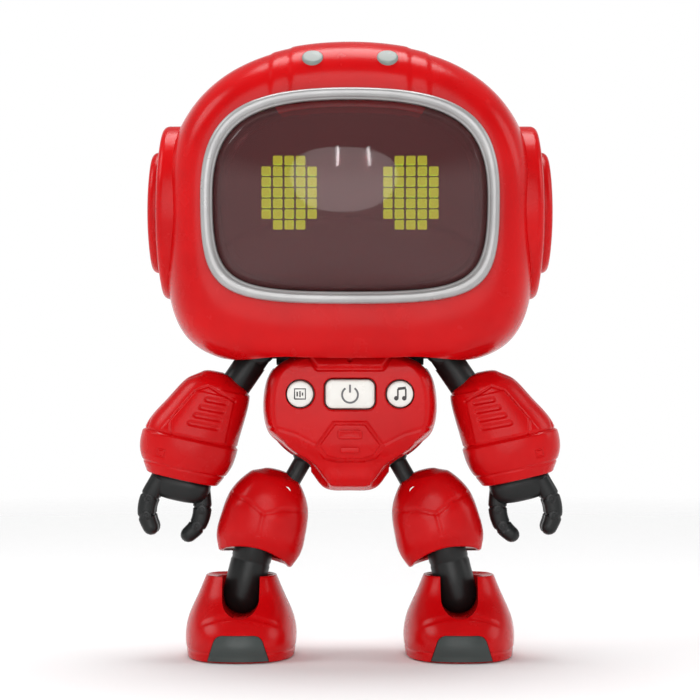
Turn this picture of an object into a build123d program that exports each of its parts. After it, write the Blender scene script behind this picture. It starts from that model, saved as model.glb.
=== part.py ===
from build123d import *
import os
from math import cos, sin, pi, radians, hypot, atan2, degrees

os.makedirs("parts", exist_ok=True)

# Posable toy robot, millimetres. +Z up, the face looks along -Y, and +X is the robot's own left.
# The origin is on the floor between the feet, under the middle of the head.

# ---- driving dimensions ----
HEAD_HALF_WIDTH = 38.2
HEAD_TOP_Z = 126.0
HEAD_BOTTOM_Z = 59.3
HEAD_MID_Z = 92.9
HEAD_BACK_Y = 26.0
FACE_Y = -18.0
FACE_MID_Z = 93.8
FACE_HALF_WIDTH = 29.9
FACE_HALF_HEIGHT = 21.6
BEZEL_WIDTH = 2.5
BEZEL_PROUD = 2.2
LENS_BULGE_Y = -26.0
WALL = 1.8

EYE_X = 12.1
EYE_Z = 94.4
EYE_COLUMNS = 5
EYE_ROWS = 7
EYE_PITCH_X = 2.28
EYE_PITCH_Z = 2.13
EYE_CELL = 1.84

EAR_MID_Z = 91.4
EAR_OUTER_X = 41.8
EAR_STEP_X = 40.3
EAR_COVER_HALF_Y = 14.8
EAR_COVER_HALF_Z = 17.9
EAR_CAP_HALF_Y = 9.6
EAR_CAP_HALF_Z = 12.5
STUD_X = 7.5
STUD_Z = 120.35
STUD_RADIUS = 2.15

RECESS_HALF_X = 27.0
RECESS_HALF_Y = 15.0
RECESS_ROOF_Z = 67.6
NECK_RADIUS = 4.0
RUNNING_GAP = 0.05

TORSO_DEPTH = 12.5
TORSO_MID_Z = 49.0
BUTTON_Z = 54.1
SIDE_BUTTON_X = 10.1
SIDE_BUTTON_RADIUS = 2.65
POWER_WIDTH = 9.9
POWER_HEIGHT = 5.8
POWER_CORNER = 1.5
BUTTON_GAP = 0.25
BUTTON_PROUD = 0.7
BUTTON_TRAVEL = 0.8

SHOULDER_X = 18.6
SHOULDER_Z = 63.2
TUBE_RADIUS = 3.2
ARM_SPLAY = 12.5
ARM_TOP_X = 30.0
ARM_TOP_Z = 58.5
ARM_LENGTH = 22.3
TUBE_ENTRY_X = 22.5
TUBE_ENTRY_Z = 57.5
PIN_RADIUS = 1.0
WRIST_PEG_RADIUS = 2.5

HIP_X = 8.3
HIP_Z = 41.5
LINK_RADIUS = 1.85
THIGH_PIVOT_X = 13.2
THIGH_PIVOT_Z = 34.0
THIGH_TOP_X = 15.3
THIGH_TOP_Z = 37.8
THIGH_SPLAY = 13.8
THIGH_LENGTH = 18.6
KNEE_X = 19.8
KNEE_Z = 22.4
ANKLE_X = 22.3
ANKLE_Z = 12.4
SHIN_RADIUS = 4.1
FOOT_X = 22.5
SOLE_THICKNESS = 1.5
SOLE_INSET = 1.0

FAR = 80.0


# ---- shape helpers ----
def corner_reach(squareness):
    """Handle length that makes a cubic quarter curve follow a superellipse of this squareness."""
    return (8 * 2 ** (-1 / squareness) - 4) / 3


def egg_face(place, half_x, up, down, n_up, n_down, mid=0.0):
    """Closed oval of four quarter curves, each half with its own height and squareness."""
    k_up = corner_reach(n_up)
    k_down = corner_reach(n_down)
    quarters = []
    for side, rise, k in ((1, up, k_up), (-1, -down, k_down)):
        for across in (1, -1):
            quarters.append(Bezier(
                place(across * half_x, mid),
                place(across * half_x, mid + k * rise),
                place(across * half_x * k, mid + rise),
                place(0, mid + rise),
            ))
    return make_face(quarters)


def upright_egg(y, half_x, up, down, n_up, n_down, mid):
    """Oval in the plane of constant y."""
    return egg_face(lambda a, b: (a, y, b), half_x, up, down, n_up, n_down, mid)


def level_egg(z, mid_x, half_x, front, back, n_front, n_back):
    """Oval in the plane of constant z; front is its reach along -Y and back along +Y."""
    return egg_face(lambda a, b: (mid_x + a, b, z), half_x, back, front, n_back, n_front)


def block(x, y, z):
    """Box between the low and high limits on each axis."""
    centre = Pos((x[0] + x[1]) / 2, (y[0] + y[1]) / 2, (z[0] + z[1]) / 2)
    return centre * Box(x[1] - x[0], y[1] - y[0], z[1] - z[0])


def rod_x(radius, low, high, y, z):
    return Pos((low + high) / 2, y, z) * Rot(0, 90, 0) * Cylinder(radius, high - low)


def rod_y(radius, low, high, x, z):
    return Pos(x, (low + high) / 2, z) * Rot(90, 0, 0) * Cylinder(radius, high - low)


def rod_z(radius, low, high, x, y):
    return Pos(x, y, (low + high) / 2) * Cylinder(radius, high - low)


def rod_between(start, end, radius):
    """Round bar in the XZ plane from one point to another."""
    dx = end[0] - start[0]
    dz = end[1] - start[1]
    tilt = degrees(atan2(dx, dz))
    centre = Pos((start[0] + end[0]) / 2, 0, (start[1] + end[1]) / 2)
    return centre * Rot(0, tilt, 0) * Cylinder(radius, hypot(dx, dz))


FRONT = block((-FAR, FAR), (-FAR, 0), (-10, 150))
REAR = block((-FAR, FAR), (0, FAR), (-10, 150))
nodes = {}


def add(name, *shapes):
    """Store a node, whose solids may be several."""
    solids = []
    for shape in shapes:
        solids.extend(shape.solids())
    nodes[name] = solids[0] if len(solids) == 1 else Compound(solids)


def add_pair(name, *shapes):
    """Store the robot's left piece and its mirror image on the right."""
    add("left_" + name, *shapes)
    add("right_" + name, *[mirror(shape, about=Plane.YZ) for shape in shapes])


# ---- head casing ----
def head_form(inset):
    """Helmet: a flat face that rolls back over a rounded shell to a domed rear."""
    front_depth = -FACE_Y - inset
    back_depth = HEAD_BACK_Y - inset
    faces = []
    for turn in (0, 22, 45, 68, 90):
        side = sin(radians(turn)) ** 0.8
        reach = cos(radians(turn)) ** 0.8 if turn < 90 else 0.0
        under = (1 - reach ** 4) ** 0.25
        mid = FACE_MID_Z + (HEAD_MID_Z - FACE_MID_Z) * side
        half = FACE_HALF_WIDTH + (HEAD_HALF_WIDTH - FACE_HALF_WIDTH) * side - inset
        up = FACE_HALF_HEIGHT + (HEAD_TOP_Z - HEAD_MID_Z - FACE_HALF_HEIGHT) * side - inset
        down = FACE_HALF_HEIGHT + (HEAD_MID_Z - HEAD_BOTTOM_Z - FACE_HALF_HEIGHT) * under - inset
        faces.append(upright_egg(-front_depth * reach, half, up, down, 2.6 - 0.3 * side, 4.2, mid))
    for turn in (28, 52, 70, 82):
        shrink = cos(radians(turn)) ** 0.8
        reach = sin(radians(turn)) ** 0.8
        under = (1 - reach ** 3.4) ** (1 / 3.4)
        half = (HEAD_HALF_WIDTH - inset) * shrink
        up = (HEAD_TOP_Z - HEAD_MID_Z - inset) * shrink
        down = (HEAD_MID_Z - HEAD_BOTTOM_Z - inset) * under
        depth = back_depth * (1.0 if turn == 82 else reach)
        faces.append(upright_egg(depth, half, up, down, 2.3, 4.2 - 0.8 * reach, HEAD_MID_Z))
    return loft(faces) & block((-FAR, FAR), (-front_depth, back_depth), (0, 150))


def face_slab(shrink, low_y, high_y):
    """Plate with the visor's outline, moved inwards by shrink, between two depths."""
    half_x = FACE_HALF_WIDTH - shrink
    half_z = FACE_HALF_HEIGHT - shrink
    plate = upright_egg(high_y, half_x, half_z, half_z, 2.8, 4.0, FACE_MID_Z)
    return extrude(plate, amount=high_y - low_y, dir=(0, -1, 0))


def stadium(half_x, half_y, low_z, high_z):
    """Upright slab with rounded ends."""
    plan = SlotOverall(2 * half_x, 2 * half_y)
    return Pos(0, 0, low_z) * extrude(plan, high_z - low_z)


OPENING_INSET = BEZEL_WIDTH + 3.0
head_outer = head_form(0.0)
head_inner = head_form(WALL)
recess_box = stadium(RECESS_HALF_X, RECESS_HALF_Y, 40, RECESS_ROOF_Z)
recess_wall = stadium(RECESS_HALF_X + 1.6, RECESS_HALF_Y + 1.6, 50, RECESS_ROOF_Z + WALL) & head_outer
head_shell = head_outer - head_inner + recess_wall - recess_box
head_shell -= rod_z(NECK_RADIUS + RUNNING_GAP, RECESS_ROOF_Z - 3, RECESS_ROOF_Z + 8, 0, 0)
head_shell -= face_slab(OPENING_INSET, FACE_Y - 5, FACE_Y + 5)

# crown studs sit in shallow seats on the sloping top of the face
STUD_TILT = 43.5
STUD_MID_Y = -14.84
STUD_LENGTH = 3.2
studs = []
for x in (-STUD_X, STUD_X):
    stud = Pos(x, STUD_MID_Y, STUD_Z) * Rot(STUD_TILT, 0, 0) * Cylinder(STUD_RADIUS, STUD_LENGTH)
    studs.append(stud)
    head_shell -= stud
add("crown_studs", *studs)

# speaker and its grille in the rear wall
SPEAKER_RADIUS = 14.0
SPEAKER_Z = 93.0
GRILLE_RADIUS = 0.9
grille = [rod_y(GRILLE_RADIUS, 15, 30, 0, SPEAKER_Z)]
for ring, count in ((4.0, 6), (8.0, 12)):
    for i in range(count):
        turn = 2 * pi * i / count
        x = ring * cos(turn)
        z = SPEAKER_Z + ring * sin(turn)
        grille.append(rod_y(GRILLE_RADIUS, 15, 30, x, z))
head_shell -= grille

# four screws clamp the rear shell to bosses inside the front shell
SCREW_RADIUS = 1.0
SCREW_HEAD_RADIUS = 1.9
BOSS_RADIUS = 2.9
BOSS_FRONT_Y = -16.5
screw_places = [(sx * 21.0, z) for sx in (-1, 1) for z in (76.0, 110.0)]
bosses = []
head_screws = []
for x, z in screw_places:
    boss = rod_y(BOSS_RADIUS, BOSS_FRONT_Y, FAR / 3, x, z) & head_outer
    bosses.append(boss)
    shank = rod_y(SCREW_RADIUS, -8, 8, x, z)
    head = rod_y(SCREW_HEAD_RADIUS, 8, 9.4, x, z)
    head_screws.append(shank + head)
for boss in bosses:
    head_shell += boss
for (x, z), screw in zip(screw_places, head_screws):
    head_shell -= rod_y(SCREW_HEAD_RADIUS + 0.2, 8, 30, x, z)
    head_shell -= screw
add("head_screws", *head_screws)
add("head_front_shell", head_shell & FRONT)
add("head_rear_shell", head_shell & REAR)

# ---- visor ----
bezel = face_slab(0.0, FACE_Y - BEZEL_PROUD, FACE_Y) - face_slab(BEZEL_WIDTH, FACE_Y - 5, FACE_Y + 1)
add("visor_bezel", bezel)


def lens_dome(inset):
    """Shallow bulging lens, as a solid from its back plane to its crown."""
    faces = []
    half_x = FACE_HALF_WIDTH - BEZEL_WIDTH - RUNNING_GAP - inset
    half_z = FACE_HALF_HEIGHT - BEZEL_WIDTH - RUNNING_GAP - inset
    full_depth = FACE_Y - LENS_BULGE_Y - inset
    for turn in (0, 30, 60, 82):
        shrink = cos(radians(turn)) ** 0.75
        reach = 1.0 if turn == 82 else sin(radians(turn))
        y = FACE_Y - full_depth * reach
        faces.append(upright_egg(y, half_x * shrink, half_z * shrink, half_z * shrink, 2.8, 4.0, FACE_MID_Z))
    return loft(faces)


lens = lens_dome(0.0) - lens_dome(1.4)
add("visor_lens", lens)

# mask panel with the lit cells proud of it, and the light board behind
MASK_THICKNESS = 1.2
mask = face_slab(OPENING_INSET + 0.1, FACE_Y, FACE_Y + MASK_THICKNESS)
add("eye_mask_panel", mask)
cells = []
for side in (-1, 1):
    for column in range(EYE_COLUMNS):
        for row in range(EYE_ROWS):
            corner = column in (0, EYE_COLUMNS - 1) and row in (0, EYE_ROWS - 1)
            if corner:
                continue
            x = side * EYE_X + (column - (EYE_COLUMNS - 1) / 2) * EYE_PITCH_X
            z = EYE_Z + (row - (EYE_ROWS - 1) / 2) * EYE_PITCH_Z
            cells.append(Pos(x, FACE_Y - 0.4, z) * Box(EYE_CELL, 0.8, EYE_CELL))
add("eye_cells", *cells)
BOARD_THICKNESS = 1.2
board_low_y = FACE_Y + MASK_THICKNESS + 1.0
light_board = block((-22, 22), (board_low_y, board_low_y + BOARD_THICKNESS), (84, 106))
leds = []
for side in (-1, 1):
    for z in (EYE_Z - 4, EYE_Z + 4):
        led_x = (side * EYE_X - 1.2, side * EYE_X + 1.2)
        leds.append(block(led_x, (board_low_y - 1.0, board_low_y), (z - 0.7, z + 0.7)))
for led in leds:
    light_board += led
add("eye_light_board", light_board)

speaker = rod_y(SPEAKER_RADIUS, 16.5, 18.0, 0, SPEAKER_Z) + rod_y(10.5, 14.0, 16.5, 0, SPEAKER_Z)
speaker += rod_y(6.5, 11.5, 14.0, 0, SPEAKER_Z)
add("speaker", speaker - head_shell)


# ---- ears ----
def ear_oval(half_y, half_z, low_x, high_x, crown_radius):
    """Oval boss on the left side of the head, with a shallow domed outer face."""
    plan = Plane.YZ * Ellipse(half_y, half_z)
    boss = Pos(low_x, 0, EAR_MID_Z) * extrude(plan, high_x - low_x)
    return boss & (Pos(high_x - crown_radius, 0, EAR_MID_Z) * Sphere(crown_radius))


EAR_COVER_CROWN = 85.0
EAR_CAP_CROWN = 75.0
EAR_SPIGOT_X = 34.0
ear_cover = ear_oval(EAR_COVER_HALF_Y, EAR_COVER_HALF_Z, 30, EAR_STEP_X, EAR_COVER_CROWN)
ear_cap = ear_oval(EAR_CAP_HALF_Y, EAR_CAP_HALF_Z, 35, EAR_OUTER_X, EAR_CAP_CROWN) - ear_cover
ear_cover = ear_cover - head_outer
ear_cover = ear_cover - block((0, EAR_SPIGOT_X), (-FAR, FAR), (0, 150))
add_pair("ear_cover", ear_cover)
add_pair("ear_cap", ear_cap)


# ---- torso ----
TORSO_HALF = [(0, 62.6), (9.5, 62.4), (15.9, 59.2), (17.9, 52.8), (16.9, 46.0), (12.9, 41.2), (8.2, 38.0),
              (5.5, 34.7), (0, 34.0)]


def torso_section(y, scale_x, scale_z):
    """Chest outline from the collar down to the crotch, scaled about its middle."""
    halves = []
    for side in (1, -1):
        points = [(side * x * scale_x, y, TORSO_MID_Z + (z - TORSO_MID_Z) * scale_z) for x, z in TORSO_HALF]
        halves.append(Spline(points, tangents=[(side, 0, 0), (-side, 0, 0)]))
    return make_face(halves)


def torso_form(inset):
    """Barrel chest: the outline shrinks towards flat front and rear faces."""
    side = 1 - inset / 17.5
    tall = 1 - inset / 14.4
    depth = TORSO_DEPTH - inset
    faces = []
    for along, size in ((-1.0, 0.83), (-0.8, 0.955), (0, 1.0), (0.8, 0.955), (1.0, 0.83)):
        faces.append(torso_section(along * depth, size * side, (0.5 + 0.5 * size) * tall))
    return loft(faces)


CAVITY_FLOOR_Z = 46.0
torso_outer = torso_form(0.0)
torso_cavity = torso_form(WALL) & block((-FAR, FAR), (-FAR, FAR), (CAVITY_FLOOR_Z, 150))
torso = torso_outer - torso_cavity

# trough in the top that carries the shoulder yoke
TROUGH_Z = 59.2
TROUGH_HALF_Y = 7.0
trough = block((-FAR, FAR), (-TROUGH_HALF_Y, TROUGH_HALF_Y), (TROUGH_Z, 90))
trough_floor = block((-13.8, 13.8), (-TROUGH_HALF_Y - WALL, TROUGH_HALF_Y + WALL), (TROUGH_Z - WALL, 66))
torso = torso + (trough_floor & torso_outer) - trough

# hip sockets: a blind bore for each trunnion and a pocket that lets the link swing
HIP_BORE_RADIUS = 2.55
POCKET_X = 8.0
POCKET_RADIUS = 7.3
for side in (-1, 1):
    low, high = sorted((side * 4.6, side * (POCKET_X + 0.5)))
    torso -= rod_x(HIP_BORE_RADIUS, low, high, 0, HIP_Z)
    low, high = sorted((side * POCKET_X, side * FAR))
    pocket = rod_x(POCKET_RADIUS, low, high, 0, HIP_Z)
    torso -= pocket & block((-FAR, FAR), (-FAR, FAR), (20, HIP_Z + 3.1))

# button openings through the front wall
power_opening = (POWER_WIDTH + 2 * BUTTON_GAP, POWER_HEIGHT + 2 * BUTTON_GAP)
power_plan = Plane.XZ * RectangleRounded(*power_opening, POWER_CORNER)
torso -= Pos(0, -16, BUTTON_Z) * extrude(power_plan, amount=6.5, dir=(0, 1, 0))
for side in (-1, 1):
    torso -= rod_y(SIDE_BUTTON_RADIUS + BUTTON_GAP, -16, -9.5, side * SIDE_BUTTON_X, BUTTON_Z)

# battery bay in the rear wall
BAY_HALF_X = 10.0
BAY_LOW_Z = 43.5
BAY_HIGH_Z = 57.2
DOOR_INNER_Y = 10.6
door_space = block((-BAY_HALF_X, BAY_HALF_X), (DOOR_INNER_Y, 20), (BAY_LOW_Z, BAY_HIGH_Z))
bay_x = (-BAY_HALF_X + 0.8, BAY_HALF_X - 0.8)
bay = block(bay_x, (0, DOOR_INNER_Y), (CAVITY_FLOOR_Z - 1.4, BAY_HIGH_Z - 0.6))
torso = torso - door_space - bay
DOOR_GAP = 0.1
DOOR_SCREW_Z = 45.0
door_x = (-BAY_HALF_X + DOOR_GAP, BAY_HALF_X - DOOR_GAP)
door = door_space & torso_outer & block(door_x, (0, 20), (BAY_LOW_Z + DOOR_GAP, BAY_HIGH_Z - DOOR_GAP))
door_screw = rod_y(0.9, 8.6, 11.2, 0, DOOR_SCREW_Z) + rod_y(1.7, 11.2, 12.3, 0, DOOR_SCREW_Z)
door = door - rod_y(1.7, 11.2, 20, 0, DOOR_SCREW_Z) - door_screw
torso = torso - door_screw
add("battery_door", door)
add("battery_door_screw", door_screw)

# torso screws run from the rear shell into the front shell
torso_screw_places = ((-12.6, 57.0), (12.6, 57.0), (0.0, 38.0))
torso_screws = []
for x, z in torso_screw_places:
    torso_screws.append(rod_y(SCREW_RADIUS, -6, 7.0, x, z) + rod_y(1.8, 7.0, 8.2, x, z))
    post = rod_y(2.7, -8, 12.5, x, z) & torso_outer
    torso += post - trough
for screw, (x, z) in zip(torso_screws, torso_screw_places):
    torso -= rod_y(2.0, 7.0, 20, x, z)
    torso -= screw
add("torso_screws", *torso_screws)
add("torso_front_shell", torso & FRONT)
add("torso_rear_shell", torso & REAR)

# ---- buttons: cap, and a flange that the front wall holds in ----
FLANGE_BACK_Y = -9.6
FLANGE_FRONT_Y = -10.6
BUTTON_FRONT_Y = -TORSO_DEPTH - BUTTON_PROUD


def button(plan, flange_plan):
    """Push button standing through the front wall."""
    cap = extrude(plan, amount=FLANGE_BACK_Y - BUTTON_FRONT_Y, dir=(0, 1, 0))
    flange = extrude(flange_plan, amount=FLANGE_BACK_Y - FLANGE_FRONT_Y, dir=(0, 1, 0))
    front_edges = cap.edges().filter_by(lambda e: abs(e.center().Y) < 0.001)
    cap = fillet(front_edges, 0.5)
    return Pos(0, BUTTON_FRONT_Y, BUTTON_Z) * cap + Pos(0, FLANGE_FRONT_Y, BUTTON_Z) * flange


round_plan = Plane.XZ * Circle(SIDE_BUTTON_RADIUS)
round_flange = Plane.XZ * Circle(SIDE_BUTTON_RADIUS + 0.05)
power_cap = Plane.XZ * RectangleRounded(POWER_WIDTH, POWER_HEIGHT, POWER_CORNER)
power_flange = Plane.XZ * RectangleRounded(POWER_WIDTH + 0.1, POWER_HEIGHT + 0.1, POWER_CORNER)
add("power_button", button(power_cap, power_flange))
add("music_button", Pos(SIDE_BUTTON_X, 0, 0) * button(round_plan, round_flange))
add("talk_button", Pos(-SIDE_BUTTON_X, 0, 0) * button(round_plan, round_flange))

PAD_FRONT_Y = FLANGE_BACK_Y + BUTTON_TRAVEL + 0.1
PAD_THICKNESS = 0.9
button_pad = block((-11, 11), (PAD_FRONT_Y, PAD_FRONT_Y + PAD_THICKNESS), (49.5, 57.0))
add("button_pad", button_pad - torso)
board_y = PAD_FRONT_Y + PAD_THICKNESS
main_board = block((-13, 13), (board_y, board_y + 1.2), (CAVITY_FLOOR_Z, 56.4)) - torso
add("main_board", main_board)

CELL_RADIUS = 5.4
CELL_LENGTH = 5.2
CELL_AXIS_Y = 4.9
CELL_AXIS_Z = 50.4
battery_cells = []
for i in (-1, 0, 1):
    low = i * CELL_LENGTH - CELL_LENGTH / 2 + 0.1
    battery_cells.append(rod_x(CELL_RADIUS, low, low + CELL_LENGTH - 0.2, CELL_AXIS_Y, CELL_AXIS_Z))
add("battery_cells", *battery_cells)
contacts = []
for side in (-1, 1):
    low, high = sorted((side * 7.75, side * 8.3))
    contacts.append(block((low, high), (1.5, 8.5), (47.0, 54.0)))
add("battery_contacts", *contacts)

# ---- shoulder yoke with the neck post, and the screw that keeps the head on ----
HUB_RADIUS = 3.3
STUB_RADIUS = 1.6
STUB_END_X = 14.4
KNUCKLE_LOW_X = 11.9
YOKE_HALF_X = 11.8
yoke = block((-YOKE_HALF_X, YOKE_HALF_X), (-5.5, 5.5), (TROUGH_Z, 66.4))
yoke = fillet(yoke.edges().filter_by(Axis.X), 1.2)
yoke += rod_z(6.0, 66.0, RECESS_ROOF_Z - RUNNING_GAP, 0, 0)
yoke += rod_z(NECK_RADIUS, 66.0, RECESS_ROOF_Z + WALL + 0.1, 0, 0)
yoke += rod_x(STUB_RADIUS, -STUB_END_X, STUB_END_X, 0, SHOULDER_Z)
neck_screw = rod_z(1.3, 64.0, RECESS_ROOF_Z + WALL + 0.1, 0, 0)
neck_screw += rod_z(6.2, RECESS_ROOF_Z + WALL + 0.1, RECESS_ROOF_Z + WALL + 1.1, 0, 0)
neck_screw += rod_z(2.6, RECESS_ROOF_Z + WALL + 1.1, RECESS_ROOF_Z + WALL + 2.6, 0, 0)
add("shoulder_yoke", yoke - neck_screw)
add("neck_screw", neck_screw)

# ---- arm: knuckle on the yoke, forked tube, gauntlet shells ----
TONGUE_HALF_Y = 1.2
knuckle = rod_x(HUB_RADIUS, KNUCKLE_LOW_X, STUB_END_X + 0.8, 0, SHOULDER_Z)
tongue = rod_y(2.6, -TONGUE_HALF_Y, TONGUE_HALF_Y, SHOULDER_X, SHOULDER_Z)
tongue_z = (SHOULDER_Z - 2.0, SHOULDER_Z + 2.0)
tongue += block((STUB_END_X, SHOULDER_X), (-TONGUE_HALF_Y, TONGUE_HALF_Y), tongue_z)
knuckle = knuckle + tongue
knuckle -= rod_x(STUB_RADIUS + RUNNING_GAP, 5, STUB_END_X + 0.1, 0, SHOULDER_Z)
knuckle -= rod_y(PIN_RADIUS + RUNNING_GAP, -9, 9, SHOULDER_X, SHOULDER_Z)
add_pair("shoulder_knuckle", knuckle)

entry = (TUBE_ENTRY_X, TUBE_ENTRY_Z)
pivot = (SHOULDER_X, SHOULDER_Z)
tube_run = hypot(entry[0] - pivot[0], entry[1] - pivot[1])
tube_dir = ((entry[0] - pivot[0]) / tube_run, (entry[1] - pivot[1]) / tube_run)
tube_end = (pivot[0] + tube_dir[0] * 14.0, pivot[1] + tube_dir[1] * 14.0)
arm_tube = rod_between(pivot, tube_end, TUBE_RADIUS)
arm_tube += rod_y(TUBE_RADIUS, -TUBE_RADIUS, TUBE_RADIUS, *pivot) & (Pos(pivot[0], 0, pivot[1]) * Sphere(4.2))
collar_start = (pivot[0] + tube_dir[0] * 12.4, pivot[1] + tube_dir[1] * 12.4)
arm_tube += rod_between(collar_start, tube_end, TUBE_RADIUS + 0.7)
fork_slot = rod_y(4.4, -TONGUE_HALF_Y - RUNNING_GAP, TONGUE_HALF_Y + RUNNING_GAP, *pivot)
shoulder_pin = rod_y(PIN_RADIUS, -2.9, 2.9, *pivot)
arm_tube = arm_tube - fork_slot - shoulder_pin
add_pair("arm_tube", arm_tube)
add_pair("shoulder_pin", shoulder_pin)


def limb_form(sections, inset, squareness):
    """Loft down a limb: each section is (distance down, inner x, outer x, half depth)."""
    faces = []
    last = len(sections) - 1
    for i, (down, inner, outer, depth) in enumerate(sections):
        if i == 0:
            down += inset
        if i == last:
            down -= inset
        half_x = (outer - inner) / 2 - inset
        half_y = depth - inset
        faces.append(level_egg(-down, (outer + inner) / 2, half_x, half_y, half_y, squareness, squareness))
    return loft(faces)


arm_sections = [(0.0, -6.8, 0.6, 4.2), (2.0, -9.7, 3.3, 6.1), (7.0, -10.2, 6.4, 7.2),
                (13.0, -9.8, 9.5, 8.0), (18.5, -9.2, 9.4, 8.0), (ARM_LENGTH, -7.4, 7.2, 6.6)]
arm_place = Pos(ARM_TOP_X, 0, ARM_TOP_Z) * Rot(0, -ARM_SPLAY, 0)
WRIST_WALL = 5.0
FLANGE_RADIUS = 3.6
gauntlet = limb_form(arm_sections, 0.0, 2.5)
hollow = limb_form(arm_sections, 1.5, 2.5) & block((-FAR, FAR), (-FAR, FAR), (-ARM_LENGTH + WRIST_WALL, 5))
gauntlet = gauntlet - hollow
gauntlet -= rod_z(WRIST_PEG_RADIUS + RUNNING_GAP, -ARM_LENGTH - 2, -ARM_LENGTH + WRIST_WALL + 2, 0, 0)
arm_screw_boss = rod_y(1.9, -6.5, 6.5, 3.2, -8.0)
gauntlet += arm_screw_boss & limb_form(arm_sections, 0.2, 2.5)
gauntlet = arm_place * gauntlet - rod_between(pivot, tube_end, TUBE_RADIUS)
gauntlet -= rod_between(collar_start, tube_end, TUBE_RADIUS + 0.7)
add_pair("arm_front_shell", gauntlet & FRONT)
add_pair("arm_rear_shell", gauntlet & REAR)


# ---- claw hand ----
def link_bar(start, end, width, low_y, high_y):
    """Flat-sided finger segment with round ends."""
    run = hypot(end[0] - start[0], end[1] - start[1])
    turn = degrees(atan2(end[1] - start[1], end[0] - start[0]))
    plan = SlotCenterToCenter(run, width)
    middle = Pos((start[0] + end[0]) / 2, (start[1] + end[1]) / 2, 0)
    bar = middle * Rot(0, 0, turn) * extrude(plan, high_y - low_y)
    return Pos(0, high_y, 0) * Rot(90, 0, 0) * bar


HAND_TOP = -ARM_LENGTH - 0.12
PALM_DROP = 4.7
FINGER_WIDTH = 3.7
palm = level_egg(HAND_TOP, 0, 6.2, 4.0, 4.0, 3.2, 3.2)
palm_end = level_egg(HAND_TOP - PALM_DROP, 0, 4.9, 3.2, 3.2, 3.0, 3.0)
hand = loft([palm, palm_end])
hand += rod_z(WRIST_PEG_RADIUS, HAND_TOP - 1, -ARM_LENGTH + WRIST_WALL + 0.1, 0, 0)
hand += rod_z(FLANGE_RADIUS, -ARM_LENGTH + WRIST_WALL + 0.1, -ARM_LENGTH + WRIST_WALL + 1.3, 0, 0)
knuckles = [(4.2, -2.0), (5.4, -6.0), (5.2, -9.4), (2.9, -12.6)]
fingers = [(-1, -1.7, 1.7), (1, -3.9, -0.5), (1, 0.5, 3.9)]
for side, low_y, high_y in fingers:
    for start, end in zip(knuckles, knuckles[1:]):
        a = (side * start[0], HAND_TOP + start[1])
        b = (side * end[0], HAND_TOP + end[1])
        hand += link_bar(a, b, FINGER_WIDTH, low_y, high_y)
add_pair("hand", arm_place * hand)

# ---- hip link ----
hip = (HIP_X, HIP_Z)
thigh_pivot = (THIGH_PIVOT_X, THIGH_PIVOT_Z)
EYE_HALF_Y = 1.8
hip_link = rod_x(HIP_BORE_RADIUS - RUNNING_GAP, 4.7, HIP_X + 1.0, 0, HIP_Z)
hip_link += Pos(HIP_X + 1.0, 0, HIP_Z) * Sphere(HIP_BORE_RADIUS - RUNNING_GAP)
hip_link += rod_between((HIP_X + 0.6, HIP_Z), thigh_pivot, LINK_RADIUS)
hip_link += rod_y(2.4, -EYE_HALF_Y, EYE_HALF_Y, *thigh_pivot)
hip_link -= rod_y(PIN_RADIUS + RUNNING_GAP, -5, 5, *thigh_pivot)
add_pair("hip_link", hip_link)

# ---- thigh ----
thigh_sections = [(0.0, -2.8, 2.8, 2.8), (1.0, -5.0, 5.0, 4.9), (4.5, -7.6, 7.6, 7.1),
                  (11.0, -9.0, 9.0, 8.4), (THIGH_LENGTH, -8.6, 8.6, 8.1)]
thigh_place = Pos(THIGH_TOP_X, 0, THIGH_TOP_Z) * Rot(0, -THIGH_SPLAY, 0)
thigh = limb_form(thigh_sections, 0.0, 2.3)
thigh_hollow = limb_form(thigh_sections, 1.6, 2.3)
thigh = thigh - thigh_hollow
ARCH_RADIUS = 8.0
HIP_PIN_HALF = 5.4
KNEE_PIN_HALF = 7.0
thigh -= rod_y(ARCH_RADIUS, -FAR, -3.5, 0, -THIGH_LENGTH - 4.6)
hip_ribs = thigh_place.inverse() * rod_y(2.3, -8, 8, *thigh_pivot) & limb_form(thigh_sections, 0.4, 2.3)
thigh += hip_ribs
thigh = thigh_place * thigh
knee_ribs = rod_x(2.2, KNEE_X - 8.8, KNEE_X + 8.8, 0, KNEE_Z)
thigh += knee_ribs & (thigh_place * limb_form(thigh_sections, 0.4, 2.3))
# room for the link to splay and for the shin post to bend
for splay in (-10, -5, 0, 5, 10):
    swing = Pos(THIGH_PIVOT_X, 0, THIGH_PIVOT_Z) * Rot(0, splay, 0) * Pos(-THIGH_PIVOT_X, 0, -THIGH_PIVOT_Z)
    thigh -= swing * rod_between(hip, thigh_pivot, LINK_RADIUS + 0.35)
thigh -= rod_y(2.65, -EYE_HALF_Y - 0.1, EYE_HALF_Y + 0.1, *thigh_pivot)
KNEE_CLEARANCE = 0.25
thigh -= Pos(KNEE_X, 0, KNEE_Z) * Sphere(SHIN_RADIUS + KNEE_CLEARANCE)
ankle = (ANKLE_X, ANKLE_Z)
knee = (KNEE_X, KNEE_Z)
for bend in (-20, -10, 0, 10, 20):
    swing = Pos(KNEE_X, 0, KNEE_Z) * Rot(bend, 0, 0) * Pos(-KNEE_X, 0, -KNEE_Z)
    thigh -= swing * rod_between(knee, ankle, SHIN_RADIUS + KNEE_CLEARANCE)
hip_pin = rod_y(PIN_RADIUS, -HIP_PIN_HALF, HIP_PIN_HALF, *thigh_pivot)
knee_pin = rod_x(PIN_RADIUS, KNEE_X - KNEE_PIN_HALF, KNEE_X + KNEE_PIN_HALF, 0, KNEE_Z)
thigh = thigh - hip_pin - knee_pin
add_pair("thigh_front_shell", thigh & FRONT)
add_pair("thigh_rear_shell", thigh & REAR)
add_pair("thigh_pins", hip_pin, knee_pin)

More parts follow.
